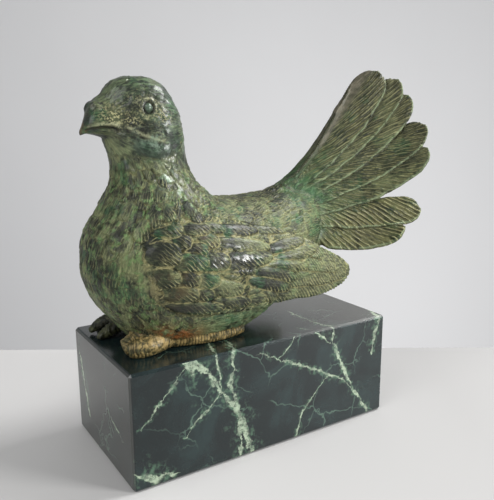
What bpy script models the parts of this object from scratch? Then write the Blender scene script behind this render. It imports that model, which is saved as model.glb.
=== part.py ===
# Dove statue: a bronze fan-tailed dove sitting on a marble plinth.
# Metres, +Z up.  The origin is the centre of the plinth's underside, X runs along the plinth,
# the bird looks towards -X, and its two flanks face -Y and +Y.
import bpy
import bmesh
import math
import numpy as np
from mathutils import Vector

# ------------------------------------------------------------------ driving dimensions (metres)
PLINTH_LENGTH = 0.160
PLINTH_WIDTH = 0.080
PLINTH_HEIGHT = 0.060
PLINTH_CHAMFER = 0.0014
REST_GAP = 0.0003          # the bird's flat underside over the plinth's top face

MM = 0.001                 # the section tables below are in millimetres

VOXEL = 0.00125            # size of the cells that fuse the carved forms into one casting
DOVE_TRIANGLES = 8600      # the fused casting is reduced to about this many triangles

EYE_RADIUS = 2.9
LID_RADIUS = 4.3
LID_THICKNESS = 0.9
FEATHER_HALF_WIDTHS = (10.8, 9.6, 9.4, 9.6, 9.6, 9.4, 9.6)   # each tail feather at its widest, ridge feather first
FEATHER_THICKNESS = 3.4
FAR_FAN_SCALE = 0.95       # the hidden half of the fan is a little shorter

# ------------------------------------------------------------------ section tables (millimetres)
# trunk, along X: station, top, bottom, height of the widest point, half width
TRUNK = [
    (-84.0, 110, 100, 104.0, 3.0), (-82.4, 118, 90, 104.0, 14.0), (-77.6, 127, 80.5, 103.0, 22.5),
    (-69.6, 133, 70.5, 101.0, 29.0), (-60.0, 137, 61, 99.0, 33.0), (-45.0, 138, 57, 97.5, 35.5),
    (-30.0, 136.5, 56, 97.0, 36.5), (-15.0, 133.4, 56.5, 97.0, 36.3), (-2.0, 132.0, 59.5, 98.0, 34.6),
    (10.0, 132.2, 65.0, 100.0, 32.2), (22.0, 133.2, 72.5, 102.5, 29.0), (34.0, 133.8, 81.5, 106.0, 24.6),
    (46.0, 133.0, 90.5, 109.5, 18.6), (56.0, 130.5, 98.5, 112.5, 12.5), (65.0, 126.0, 107, 115.5, 6.5),
    (70.0, 121.0, 112, 116.0, 2.0),
]
# head, neck and breast, by height: height, front, back, half width, narrowing towards the front
NECK = [
    (193.9, -58.5, -51.0, 2.6, 0.00), (192.8, -63.8, -46.2, 7.4, 0.08), (190.2, -68.2, -42.0, 10.9, 0.14),
    (186.4, -71.2, -38.6, 13.2, 0.20), (181.0, -72.8, -35.4, 14.7, 0.26), (175.0, -73.2, -33.0, 15.3, 0.26),
    (169.0, -72.8, -31.6, 15.3, 0.24), (163.0, -71.4, -30.8, 15.1, 0.16), (157.5, -69.4, -30.2, 15.2, 0.08),
    (152.0, -68.3, -29.2, 16.2, 0.02), (147.0, -68.2, -27.6, 18.0, 0.0), (142.0, -69.4, -24.4, 20.6, 0.0),
    (137.0, -71.8, -19.2, 24.0, 0.0), (131.0, -75.4, -14.0, 27.6, 0.0), (124.0, -79.2, -12.0, 30.6, 0.0),
    (116.0, -82.4, -12.0, 33.0, 0.0), (108.0, -84.4, -14.0, 34.4, 0.0), (100.0, -85.3, -16.0, 34.8, 0.0),
    (93.0, -83.8, -18.0, 34.0, 0.0), (86.0, -80.0, -22.0, 31.8, 0.0), (79.0, -74.2, -26.0, 28.0, 0.0),
    (72.0, -68.0, -30.0, 23.0, 0.0), (66.0, -59.0, -36.0, 14.0, 0.0),
]
# beak with its cere, along X: station, top, bottom, half width
BEAK = [
    (-60.0, 182.0, 163.5, 10.0), (-68.0, 183.6, 164.4, 9.4), (-73.0, 182.8, 165.4, 7.6),
    (-76.6, 181.2, 166.4, 6.2), (-79.0, 178.4, 167.0, 5.0), (-80.4, 174.4, 167.2, 3.9),
    (-82.0, 170.8, 166.6, 2.4), (-83.2, 168.6, 166.2, 1.0),
]
# folded wing, along X: station, lower edge, upper edge, outermost |y|, how far the upper and the
# lower edge fall back from it, thickness
WING = [
    (-67.0, 103, 113, 28.5, 2.0, 1.0, 6), (-64.0, 94, 120.5, 32.0, 5.0, 1.5, 12), (-58.0, 88, 125.6, 35.4, 8.0, 2.4, 14),
    (-50.0, 83.2, 128.2, 37.6, 10.0, 3.4, 15), (-40.0, 80.4, 128.4, 39.0, 11.2, 4.2, 16),
    (-24.0, 78.6, 125.4, 39.6, 11.4, 4.6, 16), (-8.0, 78.2, 121.2, 39.4, 10.0, 4.0, 16),
    (8.0, 79.8, 117.2, 38.6, 8.0, 3.2, 15), (20.0, 79.8, 112.6, 37.6, 5.6, 2.4, 12),
    (30.0, 79.2, 108.4, 36.8, 4.0, 1.8, 8.5), (41.0, 80.2, 102.6, 35.8, 2.6, 1.2, 6.4),
    (50.0, 82.6, 97.6, 34.8, 1.4, 0.8, 5.0), (55.0, 85.6, 94.0, 34.2, 0.8, 0.6, 4.0), (56.8, 88.2, 91.6, 34.0, 0.4, 0.3, 3.0),
]
# near half of the fan, ridge feather first: root, bend and tip of each feather's centre line
FAN = [
    ((30.8, -1.0, 132.6), (66.0, -2.4, 147.2), (99.0, -6.5, 201.2)),
    ((30.8, -2.5, 130.6), (78.0, -6.5, 150.4), (108.4, -13.5, 196.2)),
    ((30.8, -4.0, 128.4), (82.0, -9.5, 143.6), (111.6, -19.6, 187.0)),
    ((30.2, -6.0, 125.4), (84.4, -12.5, 135.6), (119.0, -27.5, 169.4)),
    ((29.4, -8.0, 122.0), (83.0, -16.0, 124.8), (114.6, -34.0, 156.2)),
    ((29.4, -10.0, 117.4), (76.4, -20.0, 117.0), (104.6, -40.5, 121.6)),
    ((29.4, -13.0, 110.0), (67.5, -23.0, 101.6), (89.4, -43.5, 112.4)),
]
# near leg: the shank lies back along the plinth, the toes close together in front of it
NEAR_SHANK = [(-54.0, -16.0, 66.0, 5.4), (-46.0, -18.6, 64.6, 4.3), (-32.0, -22.0, 63.8, 3.7),
              (-18.0, -22.4, 63.4, 3.3), (-7.0, -20.4, 63.4, 2.6)]
NEAR_TOES = [
    [(-48.0, -14.0, 66.5, 5.4), (-57.0, -15.2, 66.8, 6.0), (-65.0, -15.6, 65.6, 6.0), (-72.4, -14.6, 63.4, 4.2)],
    [(-50.0, -18.0, 65.0, 4.6), (-58.0, -20.8, 65.4, 5.2), (-65.6, -21.0, 64.4, 5.4), (-71.2, -18.6, 63.0, 4.0)],
]
FAR_SHANK = [(-52.0, 16.5, 65.4, 4.4), (-30.0, 21.6, 63.8, 3.7), (-18.0, 22.0, 63.4, 3.3), (-7.0, 20.4, 63.4, 2.6)]
FAR_TOES = [
    [(-52.0, 14.0, 66.5, 4.4), (-63.0, 13.5, 66.0, 3.9), (-71.0, 12.6, 63.6, 3.1), (-76.2, 11.6, 61.4, 1.4)],
    [(-52.0, 17.0, 66.5, 4.4), (-63.0, 20.0, 67.6, 3.9), (-71.0, 22.4, 65.4, 3.3), (-76.6, 24.0, 61.6, 1.4)],
    [(-50.0, 20.0, 65.5, 3.8), (-60.0, 26.0, 65.8, 3.4), (-66.5, 30.0, 63.6, 2.8), (-70.0, 32.0, 61.5, 1.4)],
]


# ------------------------------------------------------------------ geometry helpers
def through(rows, count):
    """A smooth curve (Catmull-Rom) through the rows of a table, read at count even steps."""
    p = np.array(rows, float)
    ext = np.vstack([2 * p[0] - p[1], p, 2 * p[-1] - p[-2]])
    u = np.linspace(0, len(p) - 1, count)
    i = np.minimum(u.astype(int), len(p) - 2)
    f = (u - i)[:, None]
    a, b, c, d = ext[i], ext[i + 1], ext[i + 2], ext[i + 3]
    return 0.5 * (2 * b + (c - a) * f + (2 * a - 5 * b + 4 * c - d) * f ** 2 + (3 * b - a - 3 * c + d) * f ** 3)


def add_loft(bm, rings):
    """Skin a row of closed rings and close both ends with a point."""
    rings = [[bm.verts.new(Vector(p) * MM) for p in ring] for ring in rings]
    n = len(rings[0])
    for a, b in zip(rings, rings[1:]):
        for k in range(n):
            bm.faces.new((a[k], a[(k + 1) % n], b[(k + 1) % n], b[k]))
    for ring in (rings[0], rings[-1]):
        centre = sum((v.co for v in ring), Vector()) / n
        tip = bm.verts.new(centre)
        for k in range(n):
            bm.faces.new((ring[k], ring[(k + 1) % n], tip))


def signed_power(x, p):
    return np.sign(x) * np.abs(x) ** p


def add_trunk(bm, steps=44, around=40):
    t = np.linspace(0, 2 * math.pi, around, endpoint=False)
    rings = []
    for x, top, bottom, wide, half in through(TRUNK, steps):
        up = signed_power(np.sin(t), 0.92)
        z = np.where(up > 0, wide + (top - wide) * up, wide + (wide - bottom) * up)
        y = max(half, 0.5) * signed_power(np.cos(t), 0.92)
        rings.append(np.stack([np.full(around, x), y, z], 1))
    add_loft(bm, rings)


def add_neck(bm, steps=60, around=40):
    t = np.linspace(0, 2 * math.pi, around, endpoint=False)
    rings = []
    for z, front, back, half, narrow in through(NECK, steps):
        mid, reach = (front + back) / 2, (back - front) / 2
        c = np.cos(t)
        y = half * np.sin(t) * (1 + narrow * c)
        rings.append(np.stack([mid + reach * c, y, np.full(around, z)], 1))
    add_loft(bm, rings)


def add_beak(bm, steps=24, around=20):
    t = np.linspace(0, 2 * math.pi, around, endpoint=False)
    rings = []
    for x, top, bottom, half in through(BEAK, steps):
        mid, tall = (top + bottom) / 2, (top - bottom) / 2
        s = np.sin(t)
        rings.append(np.stack([np.full(around, x), half * np.cos(t) * (1 - 0.22 * s), mid + tall * s], 1))
    add_loft(bm, rings)


def add_wing(bm, side, steps=44, across=14):
    v = np.linspace(0, 1, across)
    rings = []
    for x, low, up, out, fall_up, fall_low, thick in through(WING, steps):
        s = 2 * v - 1
        fall = np.where(s > 0, fall_up, fall_low) * s ** 2
        lens = 1.6 + (thick - 1.6) * np.sqrt(np.clip(1 - s ** 2, 0, 1))
        z = low + (up - low) * v
        outer = np.stack([np.full(across, x), side * (out - fall), z], 1)
        inner = np.stack([np.full(across, x), side * (out - fall - lens), z], 1)[::-1]
        rings.append(np.vstack([outer, inner]))
    add_loft(bm, rings)


def bezier(a, b, c, t):
    a, b, c = (np.array(q, float) for q in (a, b, c))
    t = t[:, None]
    return (1 - t) ** 2 * a + 2 * t * (1 - t) * b + t ** 2 * c


def feather_width(t):
    """Half width along a tail feather, from its root to its rounded tip, as a share of the widest."""
    body = 0.52 + 0.48 * np.clip(t / 0.68, 0, 1)
    tip = np.sqrt(np.clip(1 - (np.clip(t - 0.86, 0, None) / 0.14) ** 2.2, 0.0, 1))
    return body * np.clip(tip, 0.10, 1)


def unit(v):
    return v / np.maximum(np.linalg.norm(v, axis=-1, keepdims=True), 1e-9)


def fan_lines(t, side):
    """Centre line, cross direction (towards the lower feathers) and outward normal of each feather."""
    lines = [bezier(*f, t) for f in FAN]
    if side > 0:
        root = np.array([30.0, 0.0, 125.0])
        lines = [root + (c * [1, -1, 1] - root) * FAR_FAN_SCALE for c in lines]
    out = []
    for i, c in enumerate(lines):
        along = unit(np.gradient(c, axis=0))
        nb = lines[min(i + 1, len(lines) - 1)] - lines[max(i - 1, 0)]
        cross = unit(nb - (nb * along).sum(1, keepdims=True) * along)
        normal = np.cross(along, cross) * (1 if side < 0 else -1)
        normal *= np.sign((normal[:, 1] * side).sum())
        out.append((c, along, cross, normal))
    return out


def add_fan(bm, side, steps=26, across=7):
    t = np.linspace(0, 1, steps)
    s = np.linspace(-1, 1, across)
    for half, (c, along, cross, normal) in zip(FEATHER_HALF_WIDTHS, fan_lines(t, side)):
        width = half * feather_width(t)
        rings = []
        for k in range(steps):
            w = width[k]
            shell = FEATHER_THICKNESS * (0.30 + 0.70 * np.sqrt(np.clip(1 - s ** 2, 0, 1))) / 2
            shell *= 0.55 + 0.45 * min(1.0, (1 - t[k]) / 0.1)
            lift = 0.9 * s * min(1.0, t[k] / 0.25)
            top = c[k] + np.outer(s * w, cross[k]) + np.outer(lift + shell, normal[k])
            low = c[k] + np.outer(s * w, cross[k]) + np.outer(lift - shell, normal[k])
            rings.append(np.vstack([top, low[::-1]]))
        add_loft(bm, rings)


def add_limb(bm, rows, steps=18, around=12, squash=1.0):
    """A round limb through (x, y, z, radius) rows."""
    path = through(rows, steps)
    c, r = path[:, :3], path[:, 3]
    along = unit(np.gradient(c, axis=0))
    t = np.linspace(0, 2 * math.pi, around, endpoint=False)
    rings = []
    for k in range(steps):
        a = unit(np.cross(along[k], [0, 0, 1.0]))
        b = np.cross(a, along[k])
        rings.append(c[k] + np.outer(np.cos(t) * r[k], a) + np.outer(np.sin(t) * r[k] * squash, b))
    add_loft(bm, rings)


def add_ball(bm, centre, radii, u=20, v=14):
    made = bmesh.ops.create_uvsphere(bm, u_segments=u, v_segments=v, radius=1.0)["verts"]
    for vert in made:
        vert.co = Vector([(centre[i] + vert.co[i] * radii[i]) * MM for i in range(3)])


def add_ring(bm, centre, radius, thick, side):
    """The lid around an eye: a round bead in a plane that faces sideways."""
    n, m = 22, 8
    rings = []
    for i in range(n):
        a = 2 * math.pi * i / n
        d = np.array([math.cos(a), 0.0, math.sin(a)])
        o = np.array(centre) + d * radius
        rings.append([bm.verts.new(Vector(o + thick * (math.cos(b) * d + math.sin(b) * np.array([0, side, 0]))) * MM)
                      for b in (2 * math.pi * j / m for j in range(m))])
    for i in range(n):
        for j in range(m):
            a, b = rings[i], rings[(i + 1) % n]
            bm.faces.new((a[j], a[(j + 1) % m], b[(j + 1) % m], b[j]))


def add_dove(bm):
    add_trunk(bm)
    add_neck(bm)
    add_beak(bm)
    for side in (-1, 1):
        add_wing(bm, side)
        add_fan(bm, side)
        add_ball(bm, (-54.4, side * 12.4, 179.0), (EYE_RADIUS, EYE_RADIUS, EYE_RADIUS))
        add_ring(bm, (-54.4, side * 13.9, 179.0), LID_RADIUS, LID_THICKNESS, side)
        add_ball(bm, (-75.4, side * 3.2, 178.6), (4.2, 3.4, 4.2))
    # the ridge where the two halves of the fan meet
    ridge = through([(20.0, 0.0, 127.0, 6.0), (44.0, 0.0, 137.6, 5.0), (64.0, 0.0, 153.0, 3.6),
                     (78.0, 0.0, 172.0, 2.9), (88.0, 0.0, 190.0, 2.3)], 24)
    add_limb(bm, ridge, steps=24)
    add_limb(bm, NEAR_SHANK)
    add_limb(bm, FAR_SHANK)
    for toe in NEAR_TOES + FAR_TOES:
        add_limb(bm, toe)
    bmesh.ops.recalc_face_normals(bm, faces=bm.faces)


# ------------------------------------------------------------------ scene set-up
for old in list(bpy.data.objects):
    bpy.data.objects.remove(old, do_unlink=True)

parts = bpy.data.collections.new("dove_statue")
cutters = bpy.data.collections.new("cutters")
bpy.context.scene.collection.children.link(parts)
bpy.context.scene.collection.children.link(cutters)


def material(name, colour, roughness, metallic):
    mat = bpy.data.materials.new(name)
    mat.use_nodes = True
    shader = mat.node_tree.nodes["Principled BSDF"]
    shader.inputs["Base Color"].default_value = (*colour, 1)
    shader.inputs["Roughness"].default_value = roughness
    shader.inputs["Metallic"].default_value = metallic
    return mat


def new_object(name, bm, mat, collection):
    mesh = bpy.data.meshes.new(name)
    bm.to_mesh(mesh)
    bm.free()
    obj = bpy.data.objects.new(name, mesh)
    collection.objects.link(obj)
    if mat:
        mesh.materials.append(mat)
    return obj


# ------------------------------------------------------------------ plinth
bm = bmesh.new()
bmesh.ops.create_cube(bm, size=1.0)
for v in bm.verts:
    v.co = Vector((v.co.x * PLINTH_LENGTH, v.co.y * PLINTH_WIDTH, (v.co.z + 0.5) * PLINTH_HEIGHT))
plinth = new_object("marble_plinth", bm, material("green_marble", (0.020, 0.035, 0.032), 0.22, 0.0), parts)
chamfer = plinth.modifiers.new("edge_chamfer", "BEVEL")
chamfer.width = PLINTH_CHAMFER
chamfer.segments = 1
chamfer.limit_method = "ANGLE"

# ------------------------------------------------------------------ cutter that flattens the bird's underside
bm = bmesh.new()
bmesh.ops.create_cube(bm, size=1.0)
for v in bm.verts:
    v.co = Vector((v.co.x * 0.30, v.co.y * 0.20, PLINTH_HEIGHT + REST_GAP - 0.02 + v.co.z * 0.04))
floor_cut = new_object("flat_underside", bm, None, cutters)
floor_cut.hide_render = True
floor_cut.display_type = "WIRE"

# ------------------------------------------------------------------ dove
bm = bmesh.new()
add_dove(bm)
dove = new_object("bronze_dove", bm, material("bronze_patina", (0.060, 0.085, 0.045), 0.50, 0.65), parts)
fuse = dove.modifiers.new("one_casting", "REMESH")
fuse.mode = "VOXEL"
fuse.voxel_size = VOXEL
fuse.adaptivity = 0.0
soften = dove.modifiers.new("soft_hollows", "SMOOTH")
soften.factor = 0.5
soften.iterations = 3
bpy.context.view_layer.update()
fused = dove.evaluated_get(bpy.context.evaluated_depsgraph_get()).to_mesh()
fused_triangles = sum(len(p.vertices) - 2 for p in fused.polygons)
thin = dove.modifiers.new("plain_facets", "DECIMATE")
thin.decimate_type = "COLLAPSE"
thin.ratio = min(1.0, DOVE_TRIANGLES / max(1, fused_triangles))
flat = dove.modifiers.new("flat_underside", "BOOLEAN")
flat.operation = "DIFFERENCE"
flat.solver = "EXACT"
flat.object = floor_cut
for poly in dove.data.polygons:
    poly.use_smooth = True
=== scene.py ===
# Looks of the dove statue: a cast bronze dove with carved plumage on a polished marble plinth.
import bpy
import bmesh
import math
import numpy as np
from mathutils import Matrix, Vector
from mathutils.kdtree import KDTree


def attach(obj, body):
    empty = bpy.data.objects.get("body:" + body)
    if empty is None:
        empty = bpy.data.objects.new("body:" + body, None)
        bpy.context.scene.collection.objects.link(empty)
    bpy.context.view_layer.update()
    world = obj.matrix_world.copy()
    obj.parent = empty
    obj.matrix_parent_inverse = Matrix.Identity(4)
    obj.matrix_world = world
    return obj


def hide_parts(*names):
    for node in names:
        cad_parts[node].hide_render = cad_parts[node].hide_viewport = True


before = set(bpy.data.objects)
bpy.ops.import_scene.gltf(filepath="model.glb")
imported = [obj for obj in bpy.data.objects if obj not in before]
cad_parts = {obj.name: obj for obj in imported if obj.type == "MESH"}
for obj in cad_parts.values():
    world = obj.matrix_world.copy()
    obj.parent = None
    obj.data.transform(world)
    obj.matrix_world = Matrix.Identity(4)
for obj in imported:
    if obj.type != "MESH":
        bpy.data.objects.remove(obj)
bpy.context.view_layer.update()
MM = 0.001
TAU = 2 * math.pi

# ------------------------------------------------------------------ the bird's forms (millimetres)
REST = 60.3
TRUNK = [
    (-84.0, 110, 100, 104.0, 3.0), (-82.4, 118, 90, 104.0, 14.0), (-77.6, 127, 80.5, 103.0, 22.5),
    (-69.6, 133, 70.5, 101.0, 29.0), (-60.0, 137, 61, 99.0, 33.0), (-45.0, 138, 57, 97.5, 35.5),
    (-30.0, 136.5, 56, 97.0, 36.5), (-15.0, 133.4, 56.5, 97.0, 36.3), (-2.0, 132.0, 59.5, 98.0, 34.6),
    (10.0, 132.2, 65.0, 100.0, 32.2), (22.0, 133.2, 72.5, 102.5, 29.0), (34.0, 133.8, 81.5, 106.0, 24.6),
    (46.0, 133.0, 90.5, 109.5, 18.6), (56.0, 130.5, 98.5, 112.5, 12.5), (65.0, 126.0, 107, 115.5, 6.5),
    (70.0, 121.0, 112, 116.0, 2.0),
]
NECK = [
    (193.9, -58.5, -51.0, 2.6, 0.00), (192.8, -63.8, -46.2, 7.4, 0.08), (190.2, -68.2, -42.0, 10.9, 0.14),
    (186.4, -71.2, -38.6, 13.2, 0.20), (181.0, -72.8, -35.4, 14.7, 0.26), (175.0, -73.2, -33.0, 15.3, 0.26),
    (169.0, -72.8, -31.6, 15.3, 0.24), (163.0, -71.4, -30.8, 15.1, 0.16), (157.5, -69.4, -30.2, 15.2, 0.08),
    (152.0, -68.3, -29.2, 16.2, 0.02), (147.0, -68.2, -27.6, 18.0, 0.0), (142.0, -69.4, -24.4, 20.6, 0.0),
    (137.0, -71.8, -19.2, 24.0, 0.0), (131.0, -75.4, -14.0, 27.6, 0.0), (124.0, -79.2, -12.0, 30.6, 0.0),
    (116.0, -82.4, -12.0, 33.0, 0.0), (108.0, -84.4, -14.0, 34.4, 0.0), (100.0, -85.3, -16.0, 34.8, 0.0),
    (93.0, -83.8, -18.0, 34.0, 0.0), (86.0, -80.0, -22.0, 31.8, 0.0), (79.0, -74.2, -26.0, 28.0, 0.0),
    (72.0, -68.0, -30.0, 23.0, 0.0), (66.0, -59.0, -36.0, 14.0, 0.0),
]
BEAK = [
    (-60.0, 182.0, 163.5, 10.0), (-68.0, 183.6, 164.4, 9.4), (-73.0, 182.8, 165.4, 7.6),
    (-76.6, 181.2, 166.4, 6.2), (-79.0, 178.4, 167.0, 5.0), (-80.4, 174.4, 167.2, 3.9),
    (-82.0, 170.8, 166.6, 2.4), (-83.2, 168.6, 166.2, 1.0),
]
WING = [
    (-67.0, 103, 113, 28.5, 2.0, 1.0, 6), (-64.0, 94, 120.5, 32.0, 5.0, 1.5, 12), (-58.0, 88, 125.6, 35.4, 8.0, 2.4, 14),
    (-50.0, 83.2, 128.2, 37.6, 10.0, 3.4, 15), (-40.0, 80.4, 128.4, 39.0, 11.2, 4.2, 16),
    (-24.0, 78.6, 125.4, 39.6, 11.4, 4.6, 16), (-8.0, 78.2, 121.2, 39.4, 10.0, 4.0, 16),
    (8.0, 79.8, 117.2, 38.6, 8.0, 3.2, 15), (20.0, 79.8, 112.6, 37.6, 5.6, 2.4, 12),
    (30.0, 79.2, 108.4, 36.8, 4.0, 1.8, 8.5), (41.0, 80.2, 102.6, 35.8, 2.6, 1.2, 6.4),
    (50.0, 82.6, 97.6, 34.8, 1.4, 0.8, 5.0), (55.0, 85.6, 94.0, 34.2, 0.8, 0.6, 4.0), (56.8, 88.2, 91.6, 34.0, 0.4, 0.3, 3.0),
]
FAN = [
    ((30.8, -1.0, 132.6), (66.0, -2.4, 147.2), (99.0, -6.5, 201.2)),
    ((30.8, -2.5, 130.6), (78.0, -6.5, 150.4), (108.4, -13.5, 196.2)),
    ((30.8, -4.0, 128.4), (82.0, -9.5, 143.6), (111.6, -19.6, 187.0)),
    ((30.2, -6.0, 125.4), (84.4, -12.5, 135.6), (119.0, -27.5, 169.4)),
    ((29.4, -8.0, 122.0), (83.0, -16.0, 124.8), (114.6, -34.0, 156.2)),
    ((29.4, -10.0, 117.4), (76.4, -20.0, 117.0), (104.6, -40.5, 121.6)),
    ((29.4, -13.0, 110.0), (67.5, -23.0, 101.6), (89.4, -43.5, 112.4)),
]
FEATHER_HALF_WIDTHS = (10.8, 9.6, 9.4, 9.6, 9.6, 9.4, 9.6)
FEATHER_THICKNESS, FAR_FAN_SCALE = 3.4, 0.95
NEAR_SHANK = [(-54.0, -16.0, 66.0, 5.4), (-46.0, -18.6, 64.6, 4.3), (-32.0, -22.0, 63.8, 3.7),
              (-18.0, -22.4, 63.4, 3.3), (-7.0, -20.4, 63.4, 2.6)]
NEAR_TOES = [
    [(-48.0, -14.0, 66.5, 5.4), (-57.0, -15.2, 66.8, 6.0), (-65.0, -15.6, 65.6, 6.0), (-72.4, -14.6, 63.4, 4.2)],
    [(-50.0, -18.0, 65.0, 4.6), (-58.0, -20.8, 65.4, 5.2), (-65.6, -21.0, 64.4, 5.4), (-71.2, -18.6, 63.0, 4.0)],
]
FAR_SHANK = [(-52.0, 16.5, 65.4, 4.4), (-30.0, 21.6, 63.8, 3.7), (-18.0, 22.0, 63.4, 3.3), (-7.0, 20.4, 63.4, 2.6)]
FAR_TOES = [
    [(-52.0, 14.0, 66.5, 4.4), (-63.0, 13.5, 66.0, 3.9), (-71.0, 12.6, 63.6, 3.1), (-76.2, 11.6, 61.4, 1.4)],
    [(-52.0, 17.0, 66.5, 4.4), (-63.0, 20.0, 67.6, 3.9), (-71.0, 22.4, 65.4, 3.3), (-76.6, 24.0, 61.6, 1.4)],
    [(-50.0, 20.0, 65.5, 3.8), (-60.0, 26.0, 65.8, 3.4), (-66.5, 30.0, 63.6, 2.8), (-70.0, 32.0, 61.5, 1.4)],
]

# carved feathers of one flank: where each shows its base and its tip (x, y, z), its half width, and how dark its middle is
QUILLS = [
    ((-9.1, -39.0, 93.3), (12.5, -37.0, 86.3), 3.4, 0.5), ((-10.2, -38.1, 87.5), (4.2, -36.5, 82.4), 3.2, 0.5),
    ((-6.8, -39.3, 98.2), (17.3, -37.5, 91.6), 3.6, 0.5), ((-1.7, -39.0, 100.6), (23.4, -37.2, 97.0), 3.3, 0.5),
    ((4.9, -38.4, 102.7), (31.4, -33.8, 105.2), 3.8, 0.6), ((3.0, -36.6, 108.9), (24.6, -32.0, 110.4), 3.4, 0.7),
    ((-12.5, -36.8, 83.4), (-3.4, -36.9, 84.4), 3.6, 0.6), ((-28.9, -36.9, 85.1), (-12.5, -36.8, 83.2), 3.8, 0.8),
    ((-50.8, -34.7, 85.7), (-26.7, -36.0, 82.4), 3.6, 0.9), ((-26.8, -39.4, 103.0), (-9.9, -39.4, 99.4), 2.9, 0.6),
    ((-27.7, -39.1, 106.1), (0.7, -38.2, 104.8), 4.4, 0.9), ((-24.7, -36.3, 114.6), (-0.3, -36.9, 109.4), 3.6, 0.8),
    ((-4.9, -31.0, 118.8), (14.9, -28.8, 115.3), 3.1, 0.7), ((-25.6, -32.2, 121.0), (-4.8, -31.8, 117.8), 3.4, 0.9),
    ((-33.7, -38.6, 94.4), (-17.6, -38.3, 90.2), 4.3, 0.4), ((-43.0, -37.7, 92.6), (-34.0, -37.7, 89.6), 3.3, 0.3),
    ((-55.0, -35.2, 93.0), (-41.9, -37.6, 92.0), 4.2, 0.4), ((-44.3, -38.2, 98.9), (-30.6, -39.1, 97.4), 3.8, 0.5),
    ((-52.4, -36.9, 101.7), (-41.4, -38.4, 98.2), 3.8, 0.6), ((-63.1, -32.5, 101.8), (-50.8, -37.0, 100.6), 4.8, 0.8),
    ((-39.0, -38.8, 107.5), (-25.6, -39.2, 105.7), 4.8, 1.0), ((-51.2, -37.0, 108.8), (-37.4, -38.9, 106.6), 4.6, 0.7),
    ((-45.7, -36.8, 113.8), (-36.4, -37.6, 112.7), 3.6, 0.7), ((-38.6, -35.5, 117.5), (-29.6, -36.1, 115.6), 4.0, 0.3),
    ((-33.2, -31.8, 122.7), (-24.6, -32.5, 120.3), 3.4, 0.8), ((-44.2, -32.2, 122.9), (-32.6, -32.5, 121.6), 3.7, 1.0),
    ((-52.1, -34.1, 117.9), (-44.4, -35.7, 116.9), 3.9, 0.4), ((-57.1, -29.2, 123.8), (-47.2, -32.3, 122.2), 4.4, 0.7),
    ((-62.0, -32.3, 113.1), (-50.0, -36.6, 111.8), 5.8, 0.9),
]
# small feathers of the shoulder and the hind neck
SCALES = [
    ((-41.1, -26.7, 132.0), (-35.7, -30.6, 124.7), 4.0, 0.7), ((-63.7, -24.8, 125.7), (-66.5, -27.1, 117.8), 4.0, 0.5),
    ((-57.4, -24.8, 131.2), (-60.9, -27.4, 123.4), 4.0, 0.8), ((-52.1, -25.7, 132.8), (-51.8, -29.0, 126.0), 4.0, 1.0),
    ((-45.5, -23.1, 138.2), (-49.3, -26.3, 132.6), 3.4, 0.6), ((-49.7, -18.3, 146.2), (-48.3, -20.5, 141.6), 3.2, 0.3),
]


# ------------------------------------------------------------------ curves and skins
def through(rows, count):
    p = np.array(rows, float)
    ext = np.vstack([2 * p[0] - p[1], p, 2 * p[-1] - p[-2]])
    u = np.linspace(0, len(p) - 1, count)
    i = np.minimum(u.astype(int), len(p) - 2)
    f = (u - i)[:, None]
    a, b, c, d = ext[i], ext[i + 1], ext[i + 2], ext[i + 3]
    return 0.5 * (2 * b + (c - a) * f + (2 * a - 5 * b + 4 * c - d) * f ** 2 + (3 * b - a - 3 * c + d) * f ** 3)


def unit(v):
    return v / np.maximum(np.linalg.norm(v, axis=-1, keepdims=True), 1e-9)


def step01(a, b, x):
    t = np.clip((x - a) / (b - a), 0, 1)
    return t * t * (3 - 2 * t)


class Skin:
    """Collects closed lofts, and remembers which form each of their points belongs to."""

    def __init__(self):
        self.points, self.faces, self.label, self.where = [], [], [], []

    def loft(self, rings, label, where=None):
        base, n = len(self.points), len(rings[0])
        for r, ring in enumerate(rings):
            for k, p in enumerate(ring):
                self.points.append(tuple(p))
                self.label.append(label)
                self.where.append(where[r] if where is not None else 0.0)
        for r in range(len(rings) - 1):
            for k in range(n):
                a, b = base + r * n + k, base + r * n + (k + 1) % n
                self.faces.append((a, b, b + n, a + n))
        for r in (0, len(rings) - 1):
            ring = np.array(rings[r])
            tip = len(self.points)
            self.points.append(tuple(ring.mean(0)))
            self.label.append(label)
            self.where.append(where[r] if where is not None else 0.0)
            for k in range(n):
                self.faces.append((base + r * n + k, base + r * n + (k + 1) % n, tip))


def signed_power(x, p):
    return np.sign(x) * np.abs(x) ** p


def bezier(a, b, c, t):
    a, b, c = (np.array(q, float) for q in (a, b, c))
    t = t[:, None]
    return (1 - t) ** 2 * a + 2 * t * (1 - t) * b + t ** 2 * c


def feather_width(t):
    body = 0.52 + 0.48 * np.clip(t / 0.68, 0, 1)
    tip = np.sqrt(np.clip(1 - (np.clip(t - 0.86, 0, None) / 0.14) ** 2.2, 0.0, 1))
    return body * np.clip(tip, 0.10, 1)


def fan_lines(t, side):
    lines = [bezier(*f, t) for f in FAN]
    if side > 0:
        root = np.array([30.0, 0.0, 125.0])
        lines = [root + (c * [1, -1, 1] - root) * FAR_FAN_SCALE for c in lines]
    out = []
    for i, c in enumerate(lines):
        along = unit(np.gradient(c, axis=0))
        nb = lines[min(i + 1, len(lines) - 1)] - lines[max(i - 1, 0)]
        cross = unit(nb - (nb * along).sum(1, keepdims=True) * along)
        normal = np.cross(along, cross) * (1 if side < 0 else -1)
        normal *= np.sign((normal[:, 1] * side).sum())
        out.append((c, along, cross, normal))
    return out


# labels: 0 trunk, 1 neck and head, 2 beak, 3 wing, 4 leg, 5 eye, 6 ridge, 10.. near fan, 20.. far fan
TRUNK_L, NECK_L, BEAK_L, WING_L, LEG_L, EYE_L, RIDGE_L, FAN_L = 0, 1, 2, 3, 4, 5, 6, 10


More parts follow.
